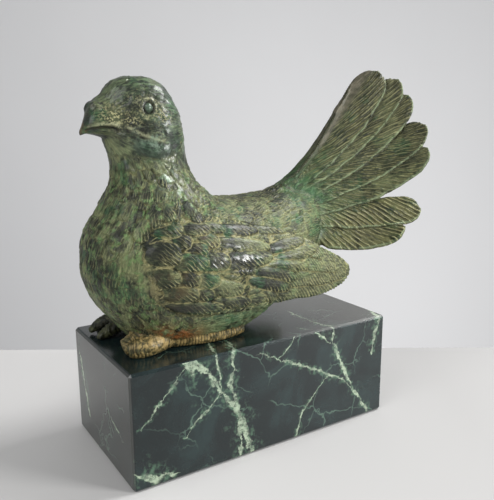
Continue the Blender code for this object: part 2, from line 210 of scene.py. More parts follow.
def build_skin():
    skin = Skin()
    t = np.linspace(0, TAU, 110, endpoint=False)
    rings = []
    for x, top, bottom, wide, half in through(TRUNK, 130):
        up = signed_power(np.sin(t), 0.92)
        z = np.where(up > 0, wide + (top - wide) * up, wide + (wide - bottom) * up)
        rings.append(np.stack([np.full(len(t), x), max(half, 0.5) * signed_power(np.cos(t), 0.92), z], 1))
    skin.loft(rings, TRUNK_L)
    rings = []
    for z, front, back, half, narrow in through(NECK, 150):
        mid, reach, c = (front + back) / 2, (back - front) / 2, np.cos(t)
        rings.append(np.stack([mid + reach * c, half * np.sin(t) * (1 + narrow * c), np.full(len(t), z)], 1))
    skin.loft(rings, NECK_L)
    t = np.linspace(0, TAU, 48, endpoint=False)
    rings = []
    for x, top, bottom, half in through(BEAK, 50):
        mid, tall, s = (top + bottom) / 2, (top - bottom) / 2, np.sin(t)
        rings.append(np.stack([np.full(len(t), x), half * np.cos(t) * (1 - 0.22 * s), mid + tall * s], 1))
    skin.loft(rings, BEAK_L)
    for side in (-1, 1):
        v = np.linspace(0, 1, 44)
        s = 2 * v - 1
        rings = []
        for x, low, up, out, fall_up, fall_low, thick in through(WING, 130):
            fall = np.where(s > 0, fall_up, fall_low) * s ** 2
            lens = 1.6 + (thick - 1.6) * np.sqrt(np.clip(1 - s ** 2, 0, 1))
            z = low + (up - low) * v
            outer = np.stack([np.full(len(v), x), side * (out - fall), z], 1)
            inner = np.stack([np.full(len(v), x), side * (out - fall - lens), z], 1)[::-1]
            rings.append(np.vstack([outer, inner]))
        skin.loft(rings, WING_L)
        ts, s = np.linspace(0, 1, 70), np.linspace(-1, 1, 17)
        for i, (c, along, cross, normal) in enumerate(fan_lines(ts, side)):
            width = FEATHER_HALF_WIDTHS[i] * feather_width(ts)
            rings = []
            for k in range(len(ts)):
                shell = FEATHER_THICKNESS * (0.30 + 0.70 * np.sqrt(np.clip(1 - s ** 2, 0, 1))) / 2
                shell *= 0.55 + 0.45 * min(1.0, (1 - ts[k]) / 0.1)
                lift = 0.9 * s * min(1.0, ts[k] / 0.25)
                top = c[k] + np.outer(s * width[k], cross[k]) + np.outer(lift + shell, normal[k])
                low = c[k] + np.outer(s * width[k], cross[k]) + np.outer(lift - shell, normal[k])
                rings.append(np.vstack([top, low[::-1]]))
            skin.loft(rings, FAN_L + i + (10 if side > 0 else 0), where=ts)
        ball(skin, (-75.2, side * 3.0, 178.4), (4.2, 3.3, 4.1), BEAK_L)
        ball(skin, (-54.2, side * 12.2, 179.0), (4.5, 3.0, 4.5), EYE_L)
    limb(skin, through([(20.0, 0.0, 127.0, 6.0), (44.0, 0.0, 137.6, 5.0), (64.0, 0.0, 153.0, 3.6),
                        (78.0, 0.0, 172.0, 2.9), (88.0, 0.0, 190.0, 2.3)], 40), RIDGE_L)
    limb(skin, [(-60.0, 0.0, 181.5, 9.0), (-67.0, 0.0, 180.6, 7.0), (-72.0, 0.0, 179.2, 5.6), (-76.2, 0.0, 177.6, 4.0)], BEAK_L)
    for rows in [NEAR_SHANK, FAR_SHANK] + NEAR_TOES + FAR_TOES:
        limb(skin, rows, LEG_L)
    return skin


def limb(skin, rows, label, steps=48, around=28):
    path = through(rows, steps)
    c, r = path[:, :3], path[:, 3]
    along = unit(np.gradient(c, axis=0))
    t = np.linspace(0, TAU, around, endpoint=False)
    rings = []
    for k in range(steps):
        a = unit(np.cross(along[k], [0, 0, 1.0]))
        b = np.cross(a, along[k])
        rings.append(c[k] + np.outer(np.cos(t) * r[k], a) + np.outer(np.sin(t) * r[k], b))
    skin.loft(rings, label)


def ball(skin, centre, radii, label):
    t = np.linspace(0, TAU, 30, endpoint=False)
    rings = []
    for a in np.linspace(0.06, math.pi - 0.06, 22):
        ring = np.stack([np.sin(a) * np.cos(t), np.sin(a) * np.sin(t), np.full(len(t), np.cos(a))], 1)
        rings.append(np.array(centre) + ring * np.array(radii))
    skin.loft(rings, label)


def mesh_object(name, points, faces):
    mesh = bpy.data.meshes.new(name)
    mesh.from_pydata(points, [], faces)
    mesh.update()
    obj = bpy.data.objects.new(name, mesh)
    bpy.context.scene.collection.objects.link(obj)
    return obj


def apply_modifiers(obj):
    deps = bpy.context.evaluated_depsgraph_get()
    mesh = bpy.data.meshes.new_from_object(obj.evaluated_get(deps))
    obj.modifiers.clear()
    old = obj.data
    obj.data = mesh
    bpy.data.meshes.remove(old)


skin = build_skin()
bird = mesh_object("bronze_dove_carved", [tuple(np.array(p) * MM) for p in skin.points], skin.faces)
bm = bmesh.new()
bm.from_mesh(bird.data)
bmesh.ops.recalc_face_normals(bm, faces=bm.faces)
bm.to_mesh(bird.data)
bm.free()
fuse = bird.modifiers.new("fuse", "REMESH")
fuse.mode = "VOXEL"
fuse.voxel_size = 0.00052
soften = bird.modifiers.new("soften", "SMOOTH")
soften.factor, soften.iterations = 0.5, 9
apply_modifiers(bird)


# ------------------------------------------------------------------ reading the fused surface
def co_of(mesh):
    co = np.zeros(len(mesh.vertices) * 3, np.float32)
    mesh.vertices.foreach_get("co", co)
    return co.reshape(-1, 3).astype(float) / MM


def normals_of(mesh):
    no = np.zeros(len(mesh.vertices) * 3, np.float32)
    mesh.vertices.foreach_get("normal", no)
    return no.reshape(-1, 3).astype(float)


P = co_of(bird.data)
N = normals_of(bird.data)
COUNT = len(P)
tree = KDTree(len(skin.points))
for i, p in enumerate(skin.points):
    tree.insert(p, i)
tree.balance()
near = np.array([tree.find(p)[1] for p in P])
LABEL = np.array(skin.label)[near]
side = np.where(P[:, 1] > 0, 1.0, -1.0)
M = P * np.stack([np.ones(COUNT), -side, np.ones(COUNT)], 1)       # both flanks folded onto the one at -Y
MN = N * np.stack([np.ones(COUNT), -side, np.ones(COUNT)], 1)


def edges_of(mesh):
    e = np.zeros(len(mesh.edges) * 2, np.int32)
    mesh.edges.foreach_get("vertices", e)
    return e.reshape(-1, 2)


E = edges_of(bird.data)
deg = np.bincount(E.ravel(), minlength=COUNT).astype(float)


def blur(x, times):
    for _ in range(times):
        acc = np.bincount(E[:, 0], x[E[:, 1]], COUNT) + np.bincount(E[:, 1], x[E[:, 0]], COUNT)
        x = 0.5 * x + 0.5 * acc / np.maximum(deg, 1)
    return x


# the rump flows into the fan: the crease between them is filled
fan_part = LABEL >= FAN_L
touch = (fan_part[E[:, 0]] & (LABEL[E[:, 1]] == TRUNK_L)) | (fan_part[E[:, 1]] & (LABEL[E[:, 0]] == TRUNK_L))
seam_tree_points = P[np.unique(E[touch].ravel())]
tree = KDTree(len(seam_tree_points))
for i, p in enumerate(seam_tree_points):
    tree.insert(p, i)
tree.balance()
seam = np.full(COUNT, 99.0)
for i in np.where((P[:, 0] > 14) & (P[:, 2] > 84) & (LABEL != WING_L))[0]:
    seam[i] = tree.find(P[i])[2]
fillet = step01(9.0, 2.5, seam)
for k in range(3):
    P[:, k] = P[:, k] * (1 - fillet) + blur(P[:, k], 190) * fillet
bird.data.vertices.foreach_set("co", (P * MM).astype(np.float32).ravel())
bird.data.update()
N = normals_of(bird.data)
M = P * np.stack([np.ones(COUNT), -side, np.ones(COUNT)], 1)
MN = N * np.stack([np.ones(COUNT), -side, np.ones(COUNT)], 1)



# ------------------------------------------------------------------ seeded noise
def lattice(ix, iy, iz, seed):
    h = (ix * 374761393 + iy * 668265263 + iz * 2147483647 + seed * 1274126177) & 0x7FFFFFFF
    h = ((h ^ (h >> 13)) * 1274126177) & 0x7FFFFFFF
    h = ((h ^ (h >> 16)) * 668265263) & 0x7FFFFFFF
    return ((h ^ (h >> 15)) & 0xFFFFFF) / 0xFFFFFF


def noise(p, seed=0):
    """Smooth value noise in -1..1 over points whose units are the cell size."""
    i = np.floor(p).astype(np.int64)
    f = p - i
    f = f * f * (3 - 2 * f)
    out = np.zeros(len(p))
    for dx in (0, 1):
        for dy in (0, 1):
            for dz in (0, 1):
                w = (f[:, 0] if dx else 1 - f[:, 0]) * (f[:, 1] if dy else 1 - f[:, 1]) * (f[:, 2] if dz else 1 - f[:, 2])
                out += w * lattice(i[:, 0] + dx, i[:, 1] + dy, i[:, 2] + dz, seed)
    return out * 2 - 1


def hash01(a, b, seed):
    return lattice(a.astype(np.int64), b.astype(np.int64), np.zeros(len(a), np.int64), seed)


# ------------------------------------------------------------------ relief: height in mm and what the patina needs to know
height = np.zeros(COUNT)
edge = np.full(COUNT, 6.0)      # distance in from the outline of the feather, mm
barb = np.zeros(COUNT)          # phase of the barbs
barbed = np.zeros(COUNT)        # how strongly barbs show
dark = np.zeros(COUNT)          # bare dark middles
ident = np.zeros(COUNT)         # a number for each feather
region = np.zeros(COUNT, np.int64)
regions = [100]


def lay(mask, e, h, ph, bd, dk, idn):
    """Lays one feather over what is there: e is the distance in from its outline."""
    global height
    a = step01(-0.15, 0.35, e) * mask
    height = height * (1 - a) + h * a
    halo = mask * step01(-0.9, -0.1, e) * (1 - step01(-0.1, 0.2, e))
    height -= 0.30 * halo
    inside = (e > 0) & (mask > 0.5)
    edge[inside] = e[inside]
    out = (e <= 0) & (mask > 0.5)
    edge[out] = np.minimum(edge[out], -e[out])
    barb[inside] = ph[inside]
    barbed[inside] = bd[inside]
    dark[inside] = dk[inside]
    ident[inside] = idn[inside] if isinstance(idn, np.ndarray) else idn
    if isinstance(idn, np.ndarray):
        region[inside] = 1000000 + (idn[inside] * 900000).astype(np.int64)
    else:
        regions[0] += 1
        region[inside] = regions[0]


def shingles(mask, s, c, pitch, column, length, half, rise, seed, darkness=0.5, barb_on=0.6, beta=0.6, lam=1.6, jitter=0.16):
    """Rows of rounded feathers that lie like roof tiles: s runs from the head backwards, c across. half and column may vary."""
    for back in (0, -1, -2):
        for dj in (0, 1, -1):
            k = np.floor(s / pitch) + back
            shift = 0.5 * (k % 2)
            j = np.round(c / column - shift) + dj
            r1, r2 = hash01(k, j, seed), hash01(k, j, seed + 7)
            cc = (j + shift + jitter * (r1 - 0.5) * 2) * column
            v = (c - cc)
            u = (s - (k + jitter * (r2 - 0.5) * 2) * pitch)
            L = length * (0.92 + 0.16 * r2)
            W = half * (0.92 + 0.16 * r1)
            t = u / L
            q = (np.abs(v) / W) ** 2.3 + (np.clip(t - 0.45, 0, None) / 0.55) ** 2.3
            e = (1 - q ** (1 / 2.3)) * W
            e = np.where(t < 0, -5.0, e)
            h = rise * np.clip(t, 0, 1) + 0.35 * rise * (1 - np.clip(np.abs(v) / W, 0, 1) ** 2)
            ph = (-u * math.sin(beta) + v * math.cos(beta)) / lam + 7 * r1
            bd = barb_on * step01(0.2, 0.7, t) * np.ones(COUNT)
            dk = darkness * step01(0.2 * 1.0, 0.55, e / W) * (0.35 + 0.65 * (r2 > 0.45))
            lay(mask * (t >= -0.02), e, h, ph, bd, dk, r1 + 0.37 * r2)


# --- breast and neck: rows run down from the throat, columns run round the neck
neck = through(NECK, 200)
order = np.argsort(neck[:, 0])
nz, nf, nbk, nh = (neck[order, i] for i in range(4))
down = np.concatenate([[0], np.cumsum(np.hypot(np.diff(neck[::1, 0]), np.diff(neck[::1, 1])))])
z_s, d_s = neck[::-1, 0], down[::-1]
flow_down = np.interp(M[:, 2], z_s, d_s)
axis_x = np.interp(M[:, 2], nz, nf + nh * 1.05)
theta = np.arctan2(M[:, 1], -(M[:, 0] - axis_x))
radius = np.interp(M[:, 2], nz, nh)
front = ((LABEL == NECK_L) | ((LABEL == TRUNK_L) & (M[:, 0] < -40))).astype(float)
throat = step01(158, 148, M[:, 2])
columns = 24
shingles(front * (M[:, 2] < 157), flow_down, theta / TAU * columns * 8.0, 7.0, 8.0, 12.5, 4.6, 0.42, 3,
         darkness=0.95, barb_on=0.35, beta=0.2, lam=1.5, jitter=0.3)
height *= np.where(front > 0, throat * (0.55 + 0.45 * step01(-70, -55, M[:, 0])), 1)
# --- back, rump and belly: rows run backwards
body = ((LABEL == TRUNK_L) & (M[:, 0] >= -42)) | ((LABEL == NECK_L) & (M[:, 0] > -34) & (M[:, 2] < 140)) | (LABEL == RIDGE_L)
around_c = np.arctan2(M[:, 1], M[:, 2] - 100.0) * 30.0
upper = (M[:, 2] > 96)
shingles(body * upper.astype(float), M[:, 0] + 60 - 0.25 * (M[:, 2] - 100), around_c, 5.6, 6.6, 10.5, 3.8, 0.24, 11,
         darkness=0.75, barb_on=0.6, beta=0.4, lam=1.4, jitter=0.3)
shingles(body * (~upper).astype(float), M[:, 0] + 60 - 0.55 * (M[:, 2] - 80), M[:, 2] * 0.9 + M[:, 0] * 0.3, 6.5, 6.0, 11.5, 3.6, 0.22, 17,
         darkness=0.3, barb_on=0.5, beta=0.4, lam=1.5)
# --- wing: small coverts first, then the carved feathers over them, rear ones first
wing = (LABEL == WING_L).astype(float)
shingles(wing * (M[:, 0] < 14), M[:, 0] + 70 - 0.12 * (M[:, 2] - 100), M[:, 2] + 0.16 * M[:, 0], 6.6, 6.8, 11.0, 4.0, 0.5, 23,
         darkness=0.6, barb_on=1.0, beta=0.66, lam=1.6, jitter=0.3)


def place(rows, on, rise, beta, lam, seed):
    order = sorted(range(len(rows)), key=lambda i: -(rows[i][0][0] - 0.35 * rows[i][0][2]))
    for n in order:
        base, tip, half, darkness = rows[n]
        base, tip = np.array(base, float), np.array(tip, float)
        span = np.linalg.norm(tip - base)
        a = (tip - base) / span
        base = base - a * 0.30 * span
        mid = (base + tip) / 2
        sel = (np.linalg.norm(M - mid, axis=1) < 0.66 * span * 1.3 + half)
        nn = unit((MN * (sel & (on > 0))[:, None]).sum(0))
        c = unit(np.cross(nn, a))
        c = c * (1 if c[2] < 0 or abs(c[2]) < 0.2 else -1)
        d = M - base
        u, v = d @ a, d @ c
        off = np.abs(d @ nn)
        L = np.linalg.norm(tip - base)
        t = u / L
        W = half * (0.72 + 0.28 * step01(0.0, 0.4, t))
        q = (np.abs(v) / W) ** 2.3 + (np.clip(t - 0.55, 0, None) / 0.45) ** 2.3
        e = np.where(t < 0, -5.0, (1 - q ** (1 / 2.3)) * W)
        e = e + 0.22 * noise(np.stack([u / 2.2, v / 2.2, np.full(COUNT, n * 3.1)], 1), seed)
        mask = on * sel * (off < 6.5) * (t > -0.02) * (MN @ nn > 0.25)
        h = 0.05 + 0.8 * rise * np.clip(t, 0, 1) + 0.75 * rise * (1 - np.clip(np.abs(v) / W, 0, 1) ** 2) * (1 - 0.5 * step01(0.7, 1, t))
        slim = beta + (0.25 if span > 30 else 0.0)
        ph = (-u * math.sin(slim) + v * math.cos(slim)) / lam + 0.37 * n
        bd = (0.25 + 0.75 * step01(-0.5 * half, 0.5 * half, v)) * step01(0.25, 0.6, t)
        dk = darkness * step01(0.22, 0.55, e / half) * (1 - 0.45 * step01(0.6, 1.0, t))
        lay(mask, e, h, ph, bd, dk, 0.13 + (n * 0.618) % 1.0)


WT = through(WING, 160)
w_low, w_up = np.interp(M[:, 0], WT[:, 0], WT[:, 1]), np.interp(M[:, 0], WT[:, 0], WT[:, 2])
w_tall = np.maximum(w_up - w_low, 1.0)
w_at = (M[:, 2] - w_low) / w_tall
for n, (w0, w1, x0, x1) in enumerate([(0.0, 0.19, 2.0, 58.5), (0.19, 0.46, 4.0, 53.0), (0.46, 0.71, 10.0, 45.0), (0.71, 1.3, 6.0, 34.0)]):
    low_e = (w_at - w0) * w_tall if n else np.full(COUNT, 9.0)
    tip_e = np.sqrt(np.clip(x1 - M[:, 0], 0, None)) * 1.6 - 0.4
    e = np.minimum(low_e, np.where(M[:, 0] < x1, tip_e, -2.0))
    e = np.where(M[:, 0] < x0, -4.0, e) + 0.15 * noise(np.stack([M[:, 0] / 3, w_at * 9, np.full(COUNT, n * 2.0)], 1), 29)
    q = np.clip((w_at - w0) / (w1 - w0), 0, 1)
    v = (w1 - w_at) * w_tall
    ph = (-M[:, 0] * math.sin(0.88) + v * math.cos(0.88)) / 1.7 + 0.41 * n
    share = step01(x0, x0 + 5, M[:, 0])
    lay(wing * (M[:, 0] > x0 - 1), e, share * (0.10 + 0.75 * (1 - q)), ph, share * (0.55 + 0.45 * (1 - q)), 0.35 * (1 - q) * np.ones(COUNT), 0.21 + 0.17 * n)
place(QUILLS, wing, 0.85, 0.66, 1.65, 31)
place(SCALES, ((LABEL <= 1) | (LABEL == WING_L)).astype(float), 0.7, 0.3, 1.5, 37)

# --- the fan: each feather's lower edge lies over the next feather, so a point belongs to the first one that holds it
FS = np.linspace(0, 1, 160)
rooted = np.where(~fan_part, step01(12.0, 2.0, seam + 4.0 * noise(P / 3.0, 45)), 0.0) * step01(106, 116, M[:, 2])
relief, raised_edge_painted_highlight, groove_painted_shadow, ridge_strip = np.zeros(COUNT), np.zeros(COUNT), np.zeros(COUNT), np.zeros(COUNT)
fan_gap = np.full(COUNT, 9.0)
height *= 1 - 0.5 * step01(10.0, 3.0, seam) * (~fan_part)
for sd in (-1, 1):
    idx = np.where(fan_part & ((LABEL >= FAN_L + 10) == (sd > 0)))[0]
    pts = P[idx]
    taken = np.zeros(len(idx), bool)
    over = np.full(len(idx), 9.0)
    for i, (c, along, cross, normal) in enumerate(fan_lines(FS, sd)):
        arc = np.concatenate([[0], np.cumsum(np.linalg.norm(np.diff(c, axis=0), axis=1))])
        k = np.concatenate([((q[:, None, :] - c[None, ::2]) ** 2).sum(2).argmin(1) * 2 for q in np.array_split(pts, 12)])
        d = pts - c[k]
        u = arc[k] + (d * along[k]).sum(1)
        v = (d * cross[k]).sum(1)
        W = FEATHER_HALF_WIDTHS[i] * feather_width(np.clip(u / arc[-1], 0, 1))
        W = W + 0.5 * noise(np.stack([u / 7, np.full(len(u), i * 3.7), u * 0], 1), 83) + 0.22 * noise(np.stack([u / 2.4, np.full(len(u), i * 3.7), u * 0], 1), 89)
        e = np.minimum(W - np.abs(v), (arc[-1] - u) * 0.9)
        here = ~taken & ((e > 0) | (i == len(FAN) - 1))
        n = idx[here]
        beta = (0.24, 0.30, 0.35, 0.38, 0.42, 0.58, 0.64)[i]
        bow = 0.077 * (v + W) ** 2 / np.maximum(W, 3)
        ph = (-u * math.sin(beta) + v * math.cos(beta) - bow) / (1.95 if i < 5 else 2.2) + 0.31 * i
        ph = ph + 0.22 * noise(np.stack([u / 9, v / 3.5, np.full(len(u), i * 5.0)], 1), 41)
        ragged = 3.5 * noise(np.stack([u * 0 + i, v / 2.2, pts[:, 2] / 5], 1), 47)
        share = step01(2.0, 11.0, seam[idx] + ragged + (4.0 if i > 3 else 0.0))
        rooted[n] = ((1 - step01(2.0, 14.0, seam[idx] + 1.4 * ragged)) * (1.0 if i < 4 else 0.3))[here]
        if i == 0:
            share = share * step01(-0.70, -0.15, v / W)
            ridge_strip[n] = (step01(-0.25, -0.60, v / W) * step01(20, 45, u))[here]
        # lip and groove raise and sink the feather edges; their masks also carry a painted highlight on the raised edge
        # and a painted shadow in the groove
        lip = np.exp(-((W - v - 0.75) / 0.5) ** 2) * step01(0.0, 0.4, share)
        groove = np.exp(-(np.clip(over, 0, None) / 0.75) ** 2) * step01(0.0, 0.4, share)
        relief[n] = (share * 0.40 * np.cos(TAU * ph) * step01(0.5, 1.8, np.minimum(W - v, over)) * step01(0.2, 1.0, e))[here]
        raised_edge_painted_highlight[n], groove_painted_shadow[n] = lip[here], groove[here]
        fan_gap[n] = np.clip(np.minimum(np.abs(W - v), over), 0, 9)[here]
        region[n] = i + (10 if sd > 0 else 0)
        edge[n], barb[n], ident[n], barbed[n] = np.maximum(e, 0)[here], ph[here], (0.2 + i * 0.618) % 1.0, share[here]
        dark[n] = (0.45 * (0.5 + 0.5 * noise(np.stack([u / 9, v / 5, np.full(len(u), i * 9.0)], 1), 43)))[here]
        height[n] = 0.0
        over = np.where(u < arc[-1] + 1.0, np.minimum(over, np.maximum(v - W, 0) + 9.0 * (e > 0)), over)
        taken |= here

# how far each point lies from the next feather, and the step down to it
elen = np.linalg.norm(P[E[:, 0]] - P[E[:, 1]], axis=1)
region[LABEL == RIDGE_L] = np.where(P[LABEL == RIDGE_L, 1] > 0, 10, 0)
gap = np.full(COUNT, 9.0)
border = region[E[:, 0]] != region[E[:, 1]]
gap[E[border].ravel()] = 0.25
for _ in range(16):
    np.minimum.at(gap, E[:, 0], gap[E[:, 1]] + elen)
    np.minimum.at(gap, E[:, 1], gap[E[:, 0]] + elen)
gap = blur(gap, 2)
fan_on = fan_part & (rooted < 0.6)
gap = np.where(fan_part, fan_gap, gap)
height += 0.50 * raised_edge_painted_highlight - 0.45 * groove_painted_shadow + relief
edge = gap

# barbs raised on the feathers of the wing and the body
wave = np.cos(TAU * barb)
not_fan = LABEL < FAN_L
height += np.where(not_fan, 0.32 * barbed * wave * step01(0.2, 0.9, edge), 0)


# --- creases and lines, with painted shade in the creases and painted highlight on the rims beside them
def line_distance(rows):
    best, span = np.full(COUNT, 99.0), np.zeros(COUNT)
    rows = [np.array(r, float) for r in rows]
    total = 0.0
    for a, b in zip(rows, rows[1:]):
        d = b - a
        h = np.clip(((M - a) @ d) / (d @ d), 0, 1)
        r = np.linalg.norm(M - a - h[:, None] * d, axis=1)
        closer = r < best
        best[closer] = r[closer]
        span[closer] = total + h[closer] * np.linalg.norm(d)
        total += np.linalg.norm(d)
    return best, span / max(total, 1e-6)


def crease(rows, depth, width, taper=True):
    global height
    r, s = line_distance(rows)
    fade = np.sin(math.pi * np.clip(s, 0.04, 0.96)) ** 0.5 if taper else 1.0
    height = height - depth * fade * np.exp(-(r / width) ** 2)


head = ((LABEL == NECK_L) & (M[:, 2] > 150)) | (LABEL == BEAK_L) | (LABEL == EYE_L)
MOUTH = [(-80.9, -3.0, 168.5), (-78.5, -4.6, 169.2), (-75.6, -6.2, 169.8), (-72.7, -7.6, 170.0), (-69.8, -8.6, 169.6), (-67.4, -9.2, 168.2)]
crease(MOUTH, 1.4, 0.7, False)
# painted shade: the mouth crease is darkened in colour, and so below are the malar, jaw and brow creases and the
# nostril
painted_crease_shade = 1.1 * np.exp(-(line_distance(MOUTH)[0] / 0.95) ** 2)
LIP = [(-80.0, -3.6, 170.4), (-75.0, -6.6, 171.4), (-70.0, -8.8, 171.6), (-66.5, -10.2, 170.6)]
crease(LIP, -0.6, 0.7)
# painted highlight: pale lines along the lip above the mouth crease, the rim above the malar crease, the lower lid and
# under the brow
pale_lid_and_painted_highlight = 1.1 * np.exp(-(line_distance(LIP)[0] / 0.62) ** 2)
MALAR = [(-63.5, -11.0, 168.6), (-61.0, -12.2, 166.9), (-57.7, -13.6, 165.1), (-54.1, -14.6, 163.6), (-50.8, -15.0, 162.6), (-46.7, -15.2, 162.0)]
crease(MALAR, 1.0, 0.8)
painted_crease_shade = np.maximum(painted_crease_shade, 0.9 * np.exp(-(line_distance(MALAR)[0] / 0.8) ** 2))
pale_lid_and_painted_highlight = np.maximum(pale_lid_and_painted_highlight, 0.9 * np.exp(-((line_distance([(a, b, c + 1.6) for a, b, c in MALAR])[0]) / 0.7) ** 2))
JAW = [(-61.5, -11.7, 162.4), (-59.5, -12.7, 159.0), (-56.6, -13.9, 156.4), (-52.5, -14.8, 155.0), (-48.0, -15.3, 155.2), (-44.8, -15.3, 157.0)]
crease(JAW, 0.8, 1.0)
painted_crease_shade = np.maximum(painted_crease_shade, 0.6 * np.exp(-(line_distance(JAW)[0] / 1.0) ** 2))
BROW = [(-60.2, -13.2, 182.6), (-57.8, -13.8, 184.0), (-54.6, -14.2, 184.8), (-51.0, -14.4, 184.0), (-47.6, -14.8, 181.8)]
crease(BROW, 0.8, 0.75)
painted_crease_shade = np.maximum(painted_crease_shade, 0.75 * np.exp(-(line_distance(BROW)[0] / 0.7) ** 2))
LOWER_LID = [(-59.0, -14.0, 177.0), (-57.0, -14.4, 174.8), (-53.6, -14.8, 174.0), (-50.2, -15.0, 175.4)]
pale_lid_and_painted_highlight = np.maximum(pale_lid_and_painted_highlight, 0.6 * np.exp(-(line_distance(LOWER_LID)[0] / 0.55) ** 2))
BROW_LIP = [(a, b, c - 1.5) for a, b, c in BROW]
pale_lid_and_painted_highlight = np.maximum(pale_lid_and_painted_highlight, 0.7 * np.exp(-(line_distance(BROW_LIP)[0] / 0.6) ** 2))
EDGE = [(-50.1, -33.2, 82.7), (-44.5, -33.0, 80.0), (-32.2, -33.5, 78.0), (-20.3, -34.0, 77.2), (-7.0, -34.0, 77.4), (7.3, -34.0, 78.6)]
crease(EDGE, 0.7, 1.1)
crease([(-26.0, -39.1, 106.3), (-19.9, -39.5, 103.6), (-9.9, -39.4, 100.7)], 0.4, 0.6)
# nostril, its pit darkened as painted shade
pit = np.linalg.norm(M - np.array([-78.2, -4.9, 180.2]), axis=1)
height -= 0.9 * np.exp(-(pit / 1.1) ** 2)
painted_crease_shade = np.maximum(painted_crease_shade, np.exp(-(pit / 1.3) ** 2))
# the eye: a bead in a groove, inside a ring-shaped lid
r_eye = np.hypot(1.08 * (M[:, 0] + 54.2), M[:, 2] - 179.1) * (1 + 0.10 * noise(M / 2.2, 59))
at_eye = head & (M[:, 1] < -9.5) & (r_eye < 7)
bead = 0.9 * np.sqrt(np.clip(1 - (r_eye / 1.95) ** 2, 0, 1))
groove = -0.85 * np.exp(-((r_eye - 2.6) / 0.5) ** 2)
lid = (0.34 + 0.50 * noise(M / 1.1, 57)) * np.exp(-((r_eye - 3.7) / 0.5) ** 2) - 0.25 * np.exp(-((r_eye - 4.7) / 0.4) ** 2)
# painted shade in the eye's groove, and a paler lid ring that is partly the lid's own colour and partly painted
# highlight
painted_crease_shade = np.where(head & (M[:, 1] < -9), np.maximum(painted_crease_shade, 1.0 * np.exp(-((r_eye - 2.7) / 0.62) ** 2)), painted_crease_shade)
pale_lid_and_painted_highlight = np.where(head & (M[:, 1] < -9), np.maximum(pale_lid_and_painted_highlight, 0.38 * np.exp(-((r_eye - 3.8) / 0.45) ** 2)), pale_lid_and_painted_highlight)
height = np.where(at_eye, bead + groove + lid + height * step01(3.5, 6, r_eye), height)
# pebbly strokes of the face and the crown, round a smooth oval on the jaw
from_jaw = np.sqrt(((M[:, 0] + 52.5) / 10.0) ** 2 + ((M[:, 2] - 159.3 + 0.12 * (M[:, 0] + 52.5)) / 4.4) ** 2)
jaw = np.where(head & (M[:, 1] < 0), step01(1.05, 0.8, from_jaw), 0)
height += np.where(head, 0.35 * np.sqrt(np.clip(1 - from_jaw ** 2, 0, 1)) * (M[:, 1] < -6), 0)
hx, hc = M[:, 0] + 0.35 * M[:, 2], np.arctan2(M[:, 1], M[:, 2] - 172.0) * 15.0
stroke = noise(np.stack([hx / 2.6, hc / 1.1, M[:, 0] * 0], 1), 51)
pebble = noise(M / 1.15, 53)
lore = np.exp(-(((M[:, 0] + 64.0) / 9.0) ** 2 + ((M[:, 2] - 173.0) / 8.0) ** 2)) * (M[:, 1] < -3)
lore = np.maximum(lore, 0.9 * np.exp(-(r_eye / 8.0) ** 2) * (M[:, 1] < -9))
grainy = np.exp(-(((M[:, 0] + 69.5) / 5.5) ** 2 + ((M[:, 2] - 175.0) / 5.0) ** 2))
grainy = np.maximum(grainy, 0.75 * np.exp(-(((M[:, 0] + 62.0) / 5.0) ** 2 + ((M[:, 2] - 173.5) / 3.2) ** 2)))
grainy = np.maximum(grainy, 0.70 * np.exp(-(((M[:, 0] + 47.5) / 4.5) ** 2 + ((M[:, 2] - 175.0) / 4.0) ** 2)))
grainy = np.maximum(grainy, 0.34 * np.exp(-(((M[:, 0] + 59.5) / 5.5) ** 2 + ((M[:, 2] - 183.5) / 2.6) ** 2)))
grainy = np.maximum(grainy, 0.60 * np.exp(-((r_eye - 4.2) / 1.3) ** 2)) * (M[:, 1] < -3) * (r_eye > 2.6)
coal = np.exp(-(((M[:, 0] + 58.5) / 6.0) ** 2 + ((M[:, 2] - 168.6) / 3.6) ** 2)) * (M[:, 1] < -6)
coal = np.maximum(coal, 0.7 * np.exp(-(((M[:, 0] + 60.5) / 4.0) ** 2 + ((M[:, 2] - 180.5) / 4.0) ** 2)) * (M[:, 1] < -6))
face = head & (LABEL == NECK_L)
rough_face = (0.30 * stroke + (0.10 + 0.40 * np.clip(lore, 0, 1)) * pebble) * (1 - jaw)
height += np.where(face, rough_face * step01(4.9, 6.0, r_eye), 0)
height += np.where(LABEL == BEAK_L, 0.12 * stroke * step01(-84, -76, M[:, 0]) + 0.16 * pebble * np.clip(lore, 0, 1), 0)
# flow strokes on the plumage that isn't barbed
fine = noise(np.stack([flow_down / 4.5, theta * radius / 1.1, M[:, 2] * 0], 1), 61)
height += np.where(front > 0, 0.22 * fine * throat + 0.20 * noise(M / 1.9, 63), 0)
fine2 = noise(np.stack([M[:, 0] / 3.6, M[:, 1] / 1.2, M[:, 2] / 1.2], 1), 67)
height += np.where(body, 0.17 * fine2, np.where(LABEL == WING_L, 0.10 * fine2, 0))
# soft irregularity of a cast surface
height += 0.16 * noise(M / 6.5, 71) + 0.07 * noise(P / 1.7, 73)
# scutes of the toes and ribs of the shanks, and a swirl on the knuckle
leg = LABEL == LEG_L
knuckle = np.linalg.norm((M - np.array([-59.3, -22.0, 67.1])) * np.array([0.8, 0.5, 1.1]), axis=1) + 0.5 * noise(M / 2.6, 75)
rings_r = np.linalg.norm(M - np.array([-76.0, -17.0, 64.0]), axis=1) + np.where(M[:, 0] < -46, 1.1, 0.35) * noise(M / 2.8, 77)
swirl = np.cos(TAU * knuckle / 1.7) * np.exp(-(knuckle / 5.5) ** 2)
scute = np.cos(TAU * rings_r / 1.6)
height += np.where(leg, 0.12 * noise(M / 1.7, 79) * (M[:, 0] < -46) + 0.26 * np.where(knuckle < 5.5, swirl, scute * step01(5.0, 6.5, knuckle)), 0)

